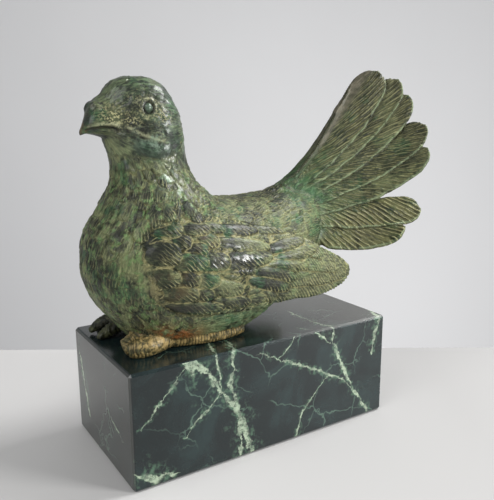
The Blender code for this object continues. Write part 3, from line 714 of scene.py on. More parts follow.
scute_ring = np.where(leg, 0.5 - 0.5 * np.where(knuckle < 5.5, 0.1 + 0.45 * np.cos(TAU * knuckle / 1.7), np.cos(TAU * rings_r / 1.6)), 0.0)
breast_ = front * step01(152, 140, M[:, 2]) * (LABEL != WING_L)
# painted shade: the far leg is darkened all over; the near toes are darker towards their tips
far_leg_shade_dark_toe_tips = np.where(leg & (P[:, 1] > 0), 1.0, 0.55 * leg * step01(-66, -73, M[:, 0]))

# keep the relief between 1.6 mm in and 1.5 mm out, and let it fade out at the resting
# plane; never grow past the frame's own box
height = np.clip(height, -1.6, 1.5)
height *= step01(REST - 0.2, REST + 1.2, M[:, 2])

Q = P + N * height[:, None]


# ------------------------------------------------------------------ hollows and ridges, for the patina
cavity = np.clip((height - blur(height, 14)) / 0.35, -1, 1)        # below zero in hollows
broad = np.clip((height - blur(height, 80)) / 0.6, -1, 1)

# colour zones
rust = 0.45 * np.exp(-(np.linalg.norm((M - np.array([-56.0, -24.0, 73.0])) / np.array([8, 10, 5]), axis=1)) ** 2)
rust += 1.2 * np.exp(-(np.linalg.norm((M - np.array([-44.0, -24.0, 68.5])) / np.array([12, 9, 4.5]), axis=1)) ** 2)
rust += 0.35 * step01(-79, -82.5, M[:, 0]) * (LABEL == BEAK_L)
rust += 0.16 * np.exp(-(np.linalg.norm((M - np.array([-52.0, -34.0, 97.0])) / np.array([9, 9, 8]), axis=1)) ** 2)
rust += 0.12 * np.exp(-(np.linalg.norm((M - np.array([-36.0, -34.0, 116.5])) / np.array([7, 8, 3.5]), axis=1)) ** 2)
gold = leg & (M[:, 0] < -40)
gold = np.where(leg & (P[:, 1] < 0), 1.0, 0.0) * step01(78, 68, M[:, 2])
# pale verdigris on the neck, the cheek and the rump: partly verdigris, partly a painted sheen where highlights fall
verd_painted_sheen = np.exp(-(np.linalg.norm((M - np.array([-47.0, -21.0, 142.0])) / np.array([5, 9, 8]), axis=1)) ** 2)
verd_painted_sheen += 0.8 * np.exp(-(np.linalg.norm((M - np.array([-52.0, -14.0, 166.0])) / np.array([9, 9, 6]), axis=1)) ** 2)
verd_painted_sheen += 0.12 * np.exp(-(np.linalg.norm((M - np.array([30.0, -18.0, 122.0])) / np.array([14, 12, 8]), axis=1)) ** 2)
flank = step01(84, 74, M[:, 2]) * step01(-45, -25, M[:, 0]) * (~leg)
umber = np.where(LABEL >= FAN_L, step01(135, 185, P[:, 2]), 0.0)
highlight = np.where(head, 0.45, 0.0) + 0.62 * np.exp(-(np.linalg.norm((M - np.array([30.5, -25.0, 114.6])) / np.array([7, 8, 5]), axis=1)) ** 2) + 0.50 * np.exp(-(np.linalg.norm((M - np.array([-46.0, -19.0, 145.0])) / np.array([7, 12, 10]), axis=1)) ** 2)
# painted shade: dark patches on the wing's front, the lower breast and the flank, and a dark band under the wing's
# lower edge where its shadow falls
painted_shade = np.exp(-(np.linalg.norm((M - np.array([-55.0, -35.0, 98.0])) / np.array([12, 14, 17]), axis=1)) ** 2)
painted_shade += 0.7 * np.exp(-(np.linalg.norm((M - np.array([-81.0, -16.0, 101.0])) / np.array([8, 8, 9]), axis=1)) ** 2)
painted_shade += 0.6 * np.exp(-(np.linalg.norm((M - np.array([-46.0, -36.0, 84.0])) / np.array([14, 12, 5]), axis=1)) ** 2)
wing_tip = np.where(LABEL == WING_L, step01(-2, 26, M[:, 0]), 0.0)
painted_shade = np.maximum(painted_shade, 0.9 * np.exp(-(line_distance(EDGE)[0] / 1.7) ** 2))
leaves = np.exp(-(np.linalg.norm((M - np.array([40.0, -12.0, 131.0])) / np.array([15, 13, 6]), axis=1)) ** 2)
shine = np.exp(-(np.linalg.norm((M - np.array([-22.0, -39.0, 105.0])) / np.array([17, 12, 7.5]), axis=1)) ** 2)
leaf = np.where(LABEL >= FAN_L, step01(75, 45, M[:, 0] - 0.1 * (P[:, 2] - 120)) * step01(112, 122, P[:, 2]), 0.0)
straw = np.where((region == 5) | (region == 6) | (region == 15) | (region == 16), 1.0, 0.0) * (LABEL >= FAN_L)
crown = np.where(head, 0.35 + step01(174, 184, M[:, 2] + 0.25 * (M[:, 0] + 55)) + 0.6 * step01(-50, -40, M[:, 0]), 0.0)
crisp = np.where(LABEL == WING_L, 1.0, np.where(LABEL >= FAN_L, 0.0, np.where(front > 0, 0.15, 0.35)))
crisp = np.where(head, 0.0, blur(crisp, 20))
polish = np.where(r_eye < 2.4, 1.0, 0.0) * at_eye
polish = np.maximum(polish * 0, jaw)
bead_eye = step01(2.1, 1.8, r_eye) * at_eye

flow_s = np.where(front > 0, flow_down, M[:, 0])
flow_c = np.where(front > 0, theta * np.maximum(radius, 6), np.where(LABEL == WING_L, M[:, 2] + 0.2 * M[:, 0], around_c))
flow_s, flow_c = np.where(head, hx, flow_s), np.where(head, hc, flow_c)
flow_s, flow_c = np.where(fan_on, -barb * 1.95 * 0.3 + M[:, 0] * 0.2, flow_s), np.where(fan_on, barb * 1.95, flow_c)
FIELDS = {"flow_s": flow_s, "flow_c": flow_c, "painted_crease_shade": painted_crease_shade * head, "pale_lid_and_painted_highlight": pale_lid_and_painted_highlight * head, "lore": np.clip(lore, 0, 1) * head, "bead": bead_eye, "raised_edge_painted_highlight": raised_edge_painted_highlight, "groove_painted_shadow": groove_painted_shadow, "rooted": rooted,
          "grainy": grainy * head, "coal": coal * head, "umber": umber, "ring": scute_ring, "breast": breast_, "far_leg_shade_dark_toe_tips": far_leg_shade_dark_toe_tips, "gloss": np.clip(highlight, 0, 1), "ridge": ridge_strip, "leaf": leaf, "shine": shine, "wing_tip": wing_tip, "painted_shade": np.clip(painted_shade, 0, 1), "leaves": leaves, "straw": straw, "crown": np.clip(crown, 0, 1),
          "edge_in": edge, "barb_phase": barb, "barb_show": barbed, "middle": dark, "feather": ident, "cavity": cavity,
          "broad": broad, "rust": rust, "gold": gold, "verdigris_and_painted_sheen": verd_painted_sheen, "flank": flank, "polish": polish, "crisp": crisp,
          "fan": (LABEL >= FAN_L).astype(float)}

mesh = bird.data
mesh.vertices.foreach_set("co", (Q * MM).astype(np.float32).ravel())
mesh.update()
bm = bmesh.new()
bm.from_mesh(mesh)
cut = bmesh.ops.bisect_plane(bm, geom=bm.verts[:] + bm.edges[:] + bm.faces[:], dist=1e-7,
                             plane_co=(0, 0, REST * MM), plane_no=(0, 0, -1), clear_outer=True)
rim = [g for g in cut["geom_cut"] if isinstance(g, bmesh.types.BMEdge)]
if rim:
    bmesh.ops.holes_fill(bm, edges=rim, sides=0)
bmesh.ops.triangulate(bm, faces=[f for f in bm.faces if len(f.verts) > 4])
bm.to_mesh(mesh)
bm.free()
tris = sum(len(p.vertices) - 2 for p in mesh.polygons)
thin = bird.modifiers.new("thin", "DECIMATE")
thin.ratio = min(1.0, 192000 / tris)
apply_modifiers(bird)
mesh = bird.data
final = co_of(mesh)
tree = KDTree(COUNT)
for i, p in enumerate(Q):
    tree.insert(p, i)
tree.balance()
near = np.array([tree.find(p)[1] for p in final])
for name, values in FIELDS.items():
    a = mesh.attributes.new(name, "FLOAT", "POINT")
    a.data.foreach_set("value", np.asarray(values, float)[near].astype(np.float32))
mesh.polygons.foreach_set("use_smooth", [True] * len(mesh.polygons))
mesh.update()
print("bird triangles", sum(len(p.vertices) - 2 for p in mesh.polygons), "from", tris)


# ------------------------------------------------------------------ node helpers
class Graph:
    def __init__(self, name):
        self.mat = bpy.data.materials.new(name)
        self.mat.use_nodes = True
        self.tree = self.mat.node_tree
        self.tree.nodes.clear()
        self.out = self.tree.nodes.new("ShaderNodeOutputMaterial")
        self.shader = self.tree.nodes.new("ShaderNodeBsdfPrincipled")
        self.tree.links.new(self.shader.outputs[0], self.out.inputs[0])
        self.coord = self.tree.nodes.new("ShaderNodeTexCoord").outputs["Object"]

    def set(self, sock, v):
        if isinstance(v, bpy.types.NodeSocket):
            self.tree.links.new(v, sock)
        elif isinstance(v, (tuple, list)) and len(v) == 3 and sock.type == "RGBA":
            sock.default_value = (*v, 1)
        else:
            sock.default_value = v

    def shade(self, **kw):
        for k, v in kw.items():
            self.set(self.shader.inputs[k.replace("_", " ")], v)

    def math(self, op, a, b=0.0, c=None, clamp=False):
        n = self.tree.nodes.new("ShaderNodeMath")
        n.operation, n.use_clamp = op, clamp
        self.set(n.inputs[0], a)
        self.set(n.inputs[1], b)
        if c is not None:
            self.set(n.inputs[2], c)
        return n.outputs[0]

    def vec(self, op, a, b=None, scale=None, out=0):
        n = self.tree.nodes.new("ShaderNodeVectorMath")
        n.operation = op
        self.set(n.inputs[0], a)
        if b is not None:
            self.set(n.inputs[1], b)
        if scale is not None:
            self.set(n.inputs[3], scale)
        return n.outputs[out]

    def attr(self, name):
        n = self.tree.nodes.new("ShaderNodeAttribute")
        n.attribute_name = name
        return n.outputs["Fac"]

    def noise(self, vector, scale, detail=2.0, rough=0.5, distortion=0.0, colour=False):
        n = self.tree.nodes.new("ShaderNodeTexNoise")
        self.set(n.inputs["Vector"], vector)
        self.set(n.inputs["Scale"], scale)
        self.set(n.inputs["Detail"], detail)
        self.set(n.inputs["Roughness"], rough)
        self.set(n.inputs["Distortion"], distortion)
        return n.outputs["Color" if colour else "Fac"]

    def ramp(self, x, lo, hi, a=0.0, b=1.0, smooth=True):
        n = self.tree.nodes.new("ShaderNodeMapRange")
        n.interpolation_type = "SMOOTHSTEP" if smooth else "LINEAR"
        for k, v in zip(("Value", "From Min", "From Max", "To Min", "To Max"), (x, lo, hi, a, b)):
            self.set(n.inputs[k], v)
        return n.outputs[0]

    def mix(self, fac, a, b, mode="MIX"):
        n = self.tree.nodes.new("ShaderNodeMix")
        n.data_type, n.blend_type, n.clamp_factor = "RGBA", mode, True
        self.set(n.inputs[0], fac)
        self.set(n.inputs[6], a)
        self.set(n.inputs[7], b)
        return n.outputs[2]

    def scale(self, vector, by):
        return self.vec("MULTIPLY", vector, by)

    def bump(self, h, strength, distance, normal=None):
        n = self.tree.nodes.new("ShaderNodeBump")
        self.set(n.inputs["Strength"], strength)
        self.set(n.inputs["Distance"], distance)
        self.set(n.inputs["Height"], h)
        if normal is not None:
            self.set(n.inputs["Normal"], normal)
        return n.outputs[0]


def rgb(r, g, b):
    """Display colour 0..255 to linear."""
    return tuple((x / 255 / 12.92) if x <= 10 else ((x / 255 + 0.055) / 1.055) ** 2.4 for x in (r, g, b))


# ------------------------------------------------------------------ bronze
def bronze():
    g = Graph("bronze_patina_look")
    co = g.coord
    edge_in, phase, show, middle = g.attr("edge_in"), g.attr("barb_phase"), g.attr("barb_show"), g.attr("middle")
    ident_, cav, wide, crisp_ = g.attr("feather"), g.attr("cavity"), g.attr("broad"), g.attr("crisp")
    big = g.noise(co, 55.0, 3, 0.6)
    mid = g.noise(co, 185.0, 4, 0.62)
    fine_ = g.noise(co, 800.0, 3, 0.6)
    n = g.tree.nodes.new("ShaderNodeCombineXYZ")
    g.set(n.inputs[0], g.math("MULTIPLY", g.attr("flow_s"), 0.24))
    g.set(n.inputs[1], g.math("MULTIPLY", g.attr("flow_c"), 1.05))
    g.set(n.inputs[2], g.math("MULTIPLY", ident_, 40.0))
    flow = g.noise(n.outputs[0], 1.0, 3, 0.55, 0.5)
    # olive patina over dark bronze, in patches with strokes along the plumage
    tone = g.math("ADD", g.math("MULTIPLY", mid, 0.55), g.math("MULTIPLY", big, 0.80))
    tone = g.math("ADD", tone, g.math("MULTIPLY", g.math("SUBTRACT", ident_, 0.5), 0.14))
    tone = g.math("ADD", tone, g.math("MULTIPLY", g.math("SUBTRACT", flow, 0.5), 0.62))
    tone = g.math("SUBTRACT", tone, g.math("MULTIPLY", g.math("ADD", crisp_, g.attr("fan")), 0.055))
    cover = g.ramp(tone, 0.53, 0.80)
    streak = g.ramp(g.noise(n.outputs[0], 3.2, 2, 0.55), 0.44, 0.60)
    col = g.mix(cover, rgb(28, 34, 25), g.mix(streak, rgb(104, 114, 76), rgb(136, 142, 102)))
    col = g.mix(g.math("MULTIPLY", g.attr("fan"), 0.32), col, rgb(76, 84, 56))
    col = g.mix(g.math("MULTIPLY", g.attr("crown"), 0.60, clamp=True), col, g.mix(g.ramp(flow, 0.40, 0.60), rgb(30, 39, 31), rgb(68, 90, 68)))
    col = g.mix(g.math("MULTIPLY", g.attr("umber"), 0.50, clamp=True), col, g.mix(g.ramp(flow, 0.40, 0.62), rgb(42, 42, 28), rgb(92, 88, 60)))
    col = g.mix(g.math("MULTIPLY", g.attr("leaf"), 0.50, clamp=True), col, g.mix(g.ramp(flow, 0.40, 0.62), rgb(40, 62, 36), rgb(88, 118, 72)))
    col = g.mix(g.math("MULTIPLY", g.attr("straw"), 0.40, clamp=True), col, g.mix(g.ramp(flow, 0.40, 0.62), rgb(50, 50, 30), rgb(130, 124, 78)))
    leafy = g.math("MULTIPLY", g.ramp(g.noise(co, 70.0, 3, 0.6), 0.53, 0.64), g.math("SUBTRACT", 0.78, g.math("MULTIPLY", g.math("ADD", g.attr("fan"), g.attr("crown")), 0.40)), clamp=True)
    col = g.mix(leafy, col, g.mix(g.ramp(flow, 0.35, 0.65), rgb(32, 62, 40), rgb(66, 110, 70)))
    # dark, bare, semi-gloss middles of the feathers
    net = g.noise(co, 270.0, 4, 0.68)
    col = g.mix(g.math("MULTIPLY", g.math("MULTIPLY", g.attr("breast"), g.ramp(g.noise(co, 125.0, 3, 0.6), 0.50, 0.60)), 0.80, clamp=True), col, rgb(30, 36, 26))
    col = g.mix(g.math("MULTIPLY", g.math("MULTIPLY", g.attr("breast"), g.ramp(net, 0.51, 0.61)), 0.72, clamp=True), col, rgb(108, 138, 84))
    # painted shade: the wing's front, the lower breast, the flank and the band under the wing's lower edge are darkened
    painted_shade_fac = g.math("MULTIPLY", g.attr("painted_shade"), g.ramp(g.noise(co, 150.0, 4, 0.66), 0.37, 0.52), clamp=True)
    col = g.mix(g.math("MULTIPLY", painted_shade_fac, 0.94), col, g.mix(fine_, rgb(24, 30, 22), rgb(44, 52, 36)))
    col = g.mix(g.math("MULTIPLY", g.math("MULTIPLY", g.attr("leaves"), g.ramp(mid, 0.34, 0.56)), 0.85, clamp=True), col, g.mix(g.ramp(flow, 0.36, 0.64), rgb(28, 56, 36), rgb(66, 108, 70)))
    col = g.mix(g.math("MULTIPLY", g.attr("wing_tip"), 0.42), col, g.mix(g.ramp(flow, 0.36, 0.60), rgb(82, 90, 58), rgb(150, 154, 108)))
    bare = g.math("MULTIPLY", middle, g.ramp(g.math("ADD", mid, g.math("MULTIPLY", wide, 0.25)), 0.36, 0.60), clamp=True)
    col = g.mix(g.math("MULTIPLY", bare, g.math("SUBTRACT", 0.88, g.math("MULTIPLY", g.attr("wing_tip"), 0.28))), col, rgb(30, 32, 25))
    # ochre patina in the hollows and along the outlines of the feathers
    hollow = g.math("MULTIPLY", g.ramp(cav, -0.20, -0.85), g.ramp(mid, 0.38, 0.60), clamp=True)
    col = g.mix(g.math("MULTIPLY", hollow, 0.58), col, rgb(154, 150, 102))
    rim_ = g.math("MULTIPLY", g.math("MULTIPLY", g.ramp(edge_in, 0.62, 0.24), crisp_), g.ramp(mid, 0.40, 0.53))
    col = g.mix(g.math("MULTIPLY", rim_, 0.80), col, rgb(172, 166, 118))
    # crisp lines between the barbs: dark beside ochre
    wobble = g.math("MULTIPLY", g.math("SUBTRACT", g.noise(co, 300.0, 2, 0.5), 0.5), g.math("SUBTRACT", 0.9, g.math("MULTIPLY", g.attr("fan"), 0.65)))
    ph = g.math("FRACT", g.math("ADD", phase, wobble))
    tri = g.math("ABSOLUTE", g.math("SUBTRACT", ph, 0.5))
    show = g.math("MULTIPLY", show, g.math("SUBTRACT", 1.0, g.math("MULTIPLY", bare, 0.55)))
    patch = g.math("MULTIPLY", show, g.ramp(g.noise(co, 210.0, 2, 0.5), 0.34, 0.56), clamp=True)
    line = g.math("MULTIPLY", g.ramp(tri, 0.30, 0.46), patch)
    shade_ = g.math("MULTIPLY", g.ramp(tri, 0.24, 0.06), patch)
    col = g.mix(g.math("MULTIPLY", shade_, g.math("SUBTRACT", 0.66, g.math("MULTIPLY", g.attr("fan"), 0.14))), col, rgb(34, 38, 26))
    line_share = g.math("ADD", 0.90, g.math("MULTIPLY", g.math("SUBTRACT", g.attr("straw"), g.attr("fan")), 0.45))
    col = g.mix(g.math("MULTIPLY", line, line_share), col, rgb(172, 168, 122))
    # the tail's feathers: painted shadow in the groove beside each one, and painted highlight on its raised edge
    col = g.mix(g.math("MULTIPLY", g.attr("groove_painted_shadow"), 0.60, clamp=True), col, rgb(34, 38, 26))
    col = g.mix(g.math("MULTIPLY", g.math("MULTIPLY", g.attr("raised_edge_painted_highlight"), g.ramp(mid, 0.36, 0.52)), 0.75, clamp=True), col, rgb(142, 156, 118))
    col = g.mix(g.math("MULTIPLY", g.math("MULTIPLY", g.attr("rooted"), g.ramp(mid, 0.38, 0.60)), 0.55, clamp=True), col, rgb(62, 104, 64))
    col = g.mix(g.math("MULTIPLY", g.attr("ridge"), 0.80, clamp=True), col, g.mix(g.ramp(mid, 0.35, 0.65), rgb(70, 68, 54), rgb(112, 106, 90)))
    # the face: pale grains by the beak and round the eye, painted shade in the creases and painted highlight on the
    # rims beside them
    speckle = g.noise(co, 900.0, 3, 0.65)
    grain = g.math("MULTIPLY", g.attr("grainy"), g.ramp(speckle, 0.50, 0.58), clamp=True)
    col = g.mix(g.math("MULTIPLY", g.attr("lore"), 0.62, clamp=True), col, rgb(48, 52, 34))
    col = g.mix(g.math("MULTIPLY", g.math("MULTIPLY", g.attr("coal"), g.ramp(speckle, 0.56, 0.47)), 0.9, clamp=True), col, rgb(22, 24, 18))
    col = g.mix(g.math("MULTIPLY", grain, 0.88), col, rgb(188, 184, 138))
    # painted highlight on the lip, the rims of the creases and the lids
    col = g.mix(g.math("MULTIPLY", g.math("MULTIPLY", g.attr("pale_lid_and_painted_highlight"), g.ramp(speckle, 0.36, 0.50)), 0.78, clamp=True), col, rgb(182, 184, 146))
    col = g.mix(g.math("MULTIPLY", g.attr("polish"), 0.85, clamp=True), col, g.mix(g.ramp(flow, 0.4, 0.65), rgb(34, 48, 36), rgb(58, 82, 62)))
    # painted shade in the creases, the nostril and the eye's groove
    col = g.mix(g.math("MULTIPLY", g.attr("painted_crease_shade"), 0.85, clamp=True), col, rgb(22, 24, 18))
    col = g.mix(g.attr("bead"), col, rgb(78, 96, 78))
    # tinted places, with painted shade on the far leg and a painted sheen in the pale verdigris
    col = g.mix(g.math("MULTIPLY", g.math("MULTIPLY", g.attr("rust"), g.ramp(mid, 0.40, 0.56)), 0.80, clamp=True), col, rgb(150, 92, 44))
    col = g.mix(g.math("MULTIPLY", g.attr("gold"), 0.85, clamp=True), col, g.mix(g.ramp(g.noise(co, 380.0, 3, 0.6), 0.38, 0.62), rgb(78, 74, 46), rgb(178, 154, 100)))
    # painted shade on the far leg, and darker tips of the near toes
    col = g.mix(g.math("MULTIPLY", g.attr("far_leg_shade_dark_toe_tips"), 0.85, clamp=True), col, g.mix(g.ramp(mid, 0.42, 0.62), rgb(26, 29, 21), rgb(74, 76, 50)))
    col = g.mix(g.math("MULTIPLY", g.ramp(g.attr("ring"), 0.45, 0.90), 0.72, clamp=True), col, rgb(44, 42, 30))
    # pale verdigris, partly a painted sheen
    col = g.mix(g.math("MULTIPLY", g.math("MULTIPLY", g.attr("verdigris_and_painted_sheen"), g.ramp(mid, 0.46, 0.62)), 0.70, clamp=True), col, rgb(146, 172, 148))
    col = g.mix(g.math("MULTIPLY", g.math("MULTIPLY", g.attr("flank"), g.ramp(mid, 0.35, 0.56)), 0.50, clamp=True), col, rgb(96, 128, 92))
    smooth_ = g.math("MAXIMUM", g.math("MULTIPLY", g.math("MULTIPLY", bare, g.ramp(crisp_, 0.3, 0.9, 0.10, 1.0)), g.math("ADD", 0.34, g.math("MULTIPLY", g.attr("shine"), 1.6))), g.math("MAXIMUM", g.math("MULTIPLY", g.attr("polish"), 0.5), g.attr("bead")))
    rough = g.math("ADD", g.math("MULTIPLY", cover, 0.14), 0.44)
    gloss = g.math("MULTIPLY", g.attr("gloss"), g.math("SUBTRACT", 1.0, grain))
    rough = g.math("SUBTRACT", rough, g.math("MULTIPLY", smooth_, 0.16))
    rough = g.math("SUBTRACT", rough, g.math("MULTIPLY", gloss, 0.06))
    bump_h = g.math("ADD", g.math("MULTIPLY", fine_, 0.50), g.math("MULTIPLY", flow, 0.9))
    bump_h = g.math("SUBTRACT", bump_h, g.math("MULTIPLY", line, 0.9))
    g.shade(Base_Color=col, Roughness=rough, Metallic=0.10, Specular_IOR_Level=0.28, Coat_Weight=g.math("ADD", g.math("MAXIMUM", g.math("MULTIPLY", smooth_, 0.62), g.math("MULTIPLY", gloss, 0.8)), g.math("ADD", 0.07, g.math("MULTIPLY", g.attr("breast"), 0.07))),
            Coat_Roughness=0.21, Normal=g.bump(bump_h, 0.9, 0.0007))
    return g.mat


# ------------------------------------------------------------------ marble
FACES = {  # veins on each face: the two coordinates run 0..1 over it; points in mm, half width in mm
    "front": [([(-52.2, 56.5), (-59.9, 48.1), (-67.9, 39.1), (-75.3, 32.0)], 0.35),
              ([(-45.1, 58.9), (-38.6, 50.0), (-31.5, 39.8), (-21.0, 25.4), (-16.2, 8.7), (-13.7, 0.0)], 0.9),
              ([(-34.0, 60.0), (-33.4, 50.0), (-31.5, 39.8)], 0.55),
              ([(-23.9, 60.0), (-24.6, 52.0), (-26.8, 42.4), (-22.6, 30.0), (-21.0, 22.0), (-20.6, 0.0)], 0.75),
              ([(-31.5, 39.8), (-39.6, 32.2), (-49.8, 26.0), (-51.1, 21.0)], 0.32),
              ([(-8.5, 55.0), (7.5, 47.5), (24.5, 39.5), (38.2, 32.7), (48.0, 27.3), (57.6, 17.4), (67.9, 1.2)], 0.38),
              ([(40.2, 60.0), (41.4, 47.0), (48.5, 33.9), (55.9, 21.6), (68.7, 1.0)], 0.5),
              ([(38.2, 32.7), (26.3, 21.9), (19.4, 14.7), (16.1, 0.5)], 0.28),
              ([(15.9, 60.0), (4.2, 49.9)], 0.3), ([(74.9, 60.0), (72.6, 51.5), (70.1, 37.7)], 0.7),
              ([(29.0, 59.0), (40.6, 49.5)], 0.32), ([(-79.0, 9.0), (-71.9, 5.0), (-60.0, 4.0)], 1.25), ([(-52.0, 60.0), (-47.0, 56.5), (-42.0, 54.0)], 1.8)],
    "top": [([(-29.6, -23.1), (-33.8, -40.0)], 0.5), ([(-19.9, -26.0), (-24.0, -40.0)], 0.6),
            ([(36.2, -4.4), (36.3, -24.5), (40.2, -40.0)], 0.5), ([(78.3, -27.6), (74.9, -40.0)], 0.6),
            ([(27.8, -37.1), (23.0, -30.0)], 0.3), ([(-10.0, 36.0), (22.0, 24.0), (52.0, 34.0)], 0.4),
            ([(-60.0, 30.0), (-44.0, 12.0), (-34.0, 6.0)], 0.4)],
    "near_end": [([(32.9, 47.5), (28.8, 32.3), (21.9, 14.2)], 0.9), ([(-8.6, 29.0), (-19.2, 25.0), (-26.8, 22.1)], 0.3)],
    "back": [([(-62.0, 60.0), (-48.0, 38.0), (-40.0, 20.0), (-22.0, 0.0)], 0.6), ([(-44.0, 30.0), (-14.0, 22.0), (12.0, 30.0), (30.0, 26.0)], 0.35),
             ([(30.0, 60.0), (38.0, 34.0), (60.0, 0.0)], 0.6), ([(12.0, 30.0), (26.0, 8.0)], 0.3)],
    "far_end": [([(-30.0, 60.0), (-14.0, 30.0), (-8.0, 0.0)], 0.5), ([(-14.0, 30.0), (16.0, 14.0), (34.0, 12.0)], 0.3)],
}


def float_curve(g, x, stops):
    n = g.tree.nodes.new("ShaderNodeFloatCurve")
    curve = n.mapping.curves[0]
    stops = sorted(stops)
    curve.points[0].location, curve.points[1].location = stops[0], stops[-1]
    for at in stops[1:-1]:
        curve.points.new(*at)
    for q in curve.points:
        q.handle_type = "VECTOR"
    n.mapping.update()
    g.set(n.inputs["Value"], x)
    return n.outputs[0]


def vein_field(g, a, b, size, low, rows):
    """Distance from the nearest vein over its half width. a and b are 0..1 across the face."""
    best = None
    for points, half in rows:
        pts = [((x - low[0]) / size[0], (y - low[1]) / size[1]) for x, y in points]
        rx, ry = (max(p[i] for p in points) - min(p[i] for p in points) for i in (0, 1))
        tall = ry > rx
        if tall:
            pts = [(y, x) for x, y in pts]
        pts = sorted((min(max(u, 0.0), 1.0), v) for u, v in pts)
        u, v = (b, a) if tall else (a, b)
        run, across_mm = (size[1], size[0]) if tall else (size[0], size[1])
        line = float_curve(g, u, [(0.0, pts[0][1])] * (pts[0][0] > 0.002) + pts + [(1.0, pts[-1][1])] * (pts[-1][0] < 0.998))
        slope = (pts[-1][1] - pts[0][1]) * across_mm / max((pts[-1][0] - pts[0][0]) * run, 1e-6)
        full = 1.45 * half * math.sqrt(1 + slope * slope) / across_mm
        p0, p1 = pts[0][0], pts[-1][0]
        taper = [(p0, 0.75), ((p0 + p1) / 2, 1.0), (p1, 0.75)]
        if p0 > 0.03:
            taper = [(0.0, 0.0), (p0 - 0.02, 0.0)] + [(p0, 0.4)] + taper[1:]
        if p1 < 0.97:
            taper = taper[:-1] + [(p1, 0.4), (p1 + 0.02, 0.0), (1.0, 0.0)]
        window = g.math("MAXIMUM", float_curve(g, u, taper), 0.001)
        r = g.math("DIVIDE", g.math("MULTIPLY", g.math("ABSOLUTE", g.math("SUBTRACT", v, line)), 1 / full), window)
        best = r if best is None else g.math("MINIMUM", best, r)
    return best


def marble():
    g = Graph("green_marble_look")
    co = g.coord
    bend = g.vec("SUBTRACT", g.noise(co, 130.0, 3, 0.6, colour=True), (0.5, 0.5, 0.5))
    fray = g.vec("SUBTRACT", g.noise(co, 620.0, 3, 0.65, colour=True), (0.5, 0.5, 0.5))
    p = g.vec("ADD", g.vec("ADD", co, g.vec("SCALE", bend, scale=0.0055)), g.vec("SCALE", fray, scale=0.0022))

    def xyz(vector):
        n = g.tree.nodes.new("ShaderNodeSeparateXYZ")
        g.set(n.inputs[0], vector)
        return n.outputs

    px, py, pz = xyz(p)
    x, y, z = xyz(co)
    L, W, H = 0.160, 0.080, 0.060
    ax = g.math("DIVIDE", g.math("ADD", px, L / 2), L)
    ay = g.math("DIVIDE", g.math("ADD", py, W / 2), W)
    az = g.math("DIVIDE", pz, H)
    size = {"front": ((160, 60), (-80, 0), ax, az), "back": ((160, 60), (-80, 0), ax, az), "top": ((160, 80), (-80, -40), ax, ay),
            "near_end": ((80, 60), (-40, 0), ay, az), "far_end": ((80, 60), (-40, 0), ay, az)}
    on = {"front": g.math("LESS_THAN", y, -W / 2 + 0.0009), "back": g.math("GREATER_THAN", y, W / 2 - 0.0009),
          "top": g.math("GREATER_THAN", z, H - 0.0009), "near_end": g.math("LESS_THAN", x, -L / 2 + 0.0009),
          "far_end": g.math("GREATER_THAN", x, L / 2 - 0.0009)}
    best = None
    for face, rows in FACES.items():
        sz, low, a, b = size[face]
        r = vein_field(g, a, b, sz, low, rows)
        r = g.math("ADD", r, g.math("MULTIPLY", g.math("SUBTRACT", 1.0, on[face]), 99.0))
        best = r if best is None else g.math("MINIMUM", best, r)
    patchy = g.noise(co, 150.0, 3, 0.6)
    t = g.math("DIVIDE", best, g.ramp(patchy, 0.34, 0.66, 0.35, 2.1))
    core = g.ramp(t, 1.15, 0.45)
    halo = g.math("MULTIPLY", g.ramp(t, 5.5, 0.8), g.ramp(g.noise(co, 420.0, 3, 0.6), 0.42, 0.7))
    w = g.tree.nodes.new("ShaderNodeTexVoronoi")
    w.feature = "DISTANCE_TO_EDGE"
    g.set(w.inputs["Vector"], g.vec("ADD", co, g.vec("SCALE", bend, scale=0.009)))
    g.set(w.inputs["Scale"], 42.0)
    web = g.math("MULTIPLY", g.ramp(w.outputs["Distance"], 0.020, 0.004), g.ramp(g.noise(co, 33.0, 2, 0.5), 0.44, 0.62))
    cloud = g.ramp(g.noise(co, 38.0, 5, 0.62, 0.8), 0.40, 0.72)
    speck = g.ramp(g.noise(co, 1100.0, 2, 0.6), 0.60, 0.78)
    col = g.mix(cloud, rgb(18, 28, 29), rgb(32, 48, 48))
    col = g.mix(g.math("MULTIPLY", speck, 0.35), col, rgb(62, 84, 76))
    col = g.mix(g.math("MULTIPLY", web, 0.60), col, rgb(96, 122, 106))
    core = g.math("MULTIPLY", core, g.ramp(g.noise(co, 460.0, 4, 0.75), 0.38, 0.54, 0.30, 1.0))
    col = g.mix(g.math("MULTIPLY", halo, 0.72), col, rgb(88, 120, 96))
    col = g.mix(g.math("MULTIPLY", core, g.ramp(g.noise(co, 240.0, 3, 0.6), 0.36, 0.60, 0.35, 0.95)), col, rgb(172, 188, 162))
    # painted sheen: the near end face, and the top more towards +x, are mixed towards pale grey
    col = g.mix(g.math("MULTIPLY", g.math("ADD", g.math("MULTIPLY", on["near_end"], 0.48), g.math("MULTIPLY", on["top"], g.ramp(x, -0.01, 0.055, 0.0, 0.75))), 0.22), col, rgb(176, 172, 164))
    rough = g.math("ADD", g.math("MULTIPLY", g.noise(co, 60.0, 3, 0.6), 0.10), 0.14)
    rough = g.math("ADD", rough, g.math("MULTIPLY", core, 0.12))
    g.shade(Base_Color=col, Roughness=rough, Normal=g.bump(speck, 0.10, 0.0002))
    return g.mat


bird.data.materials.clear()
bird.data.materials.append(bronze())
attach(bird, "root")
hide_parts("bronze_dove")
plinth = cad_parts["marble_plinth"]
plinth.material_slots[0].link = "OBJECT"
plinth.material_slots[0].material = marble()


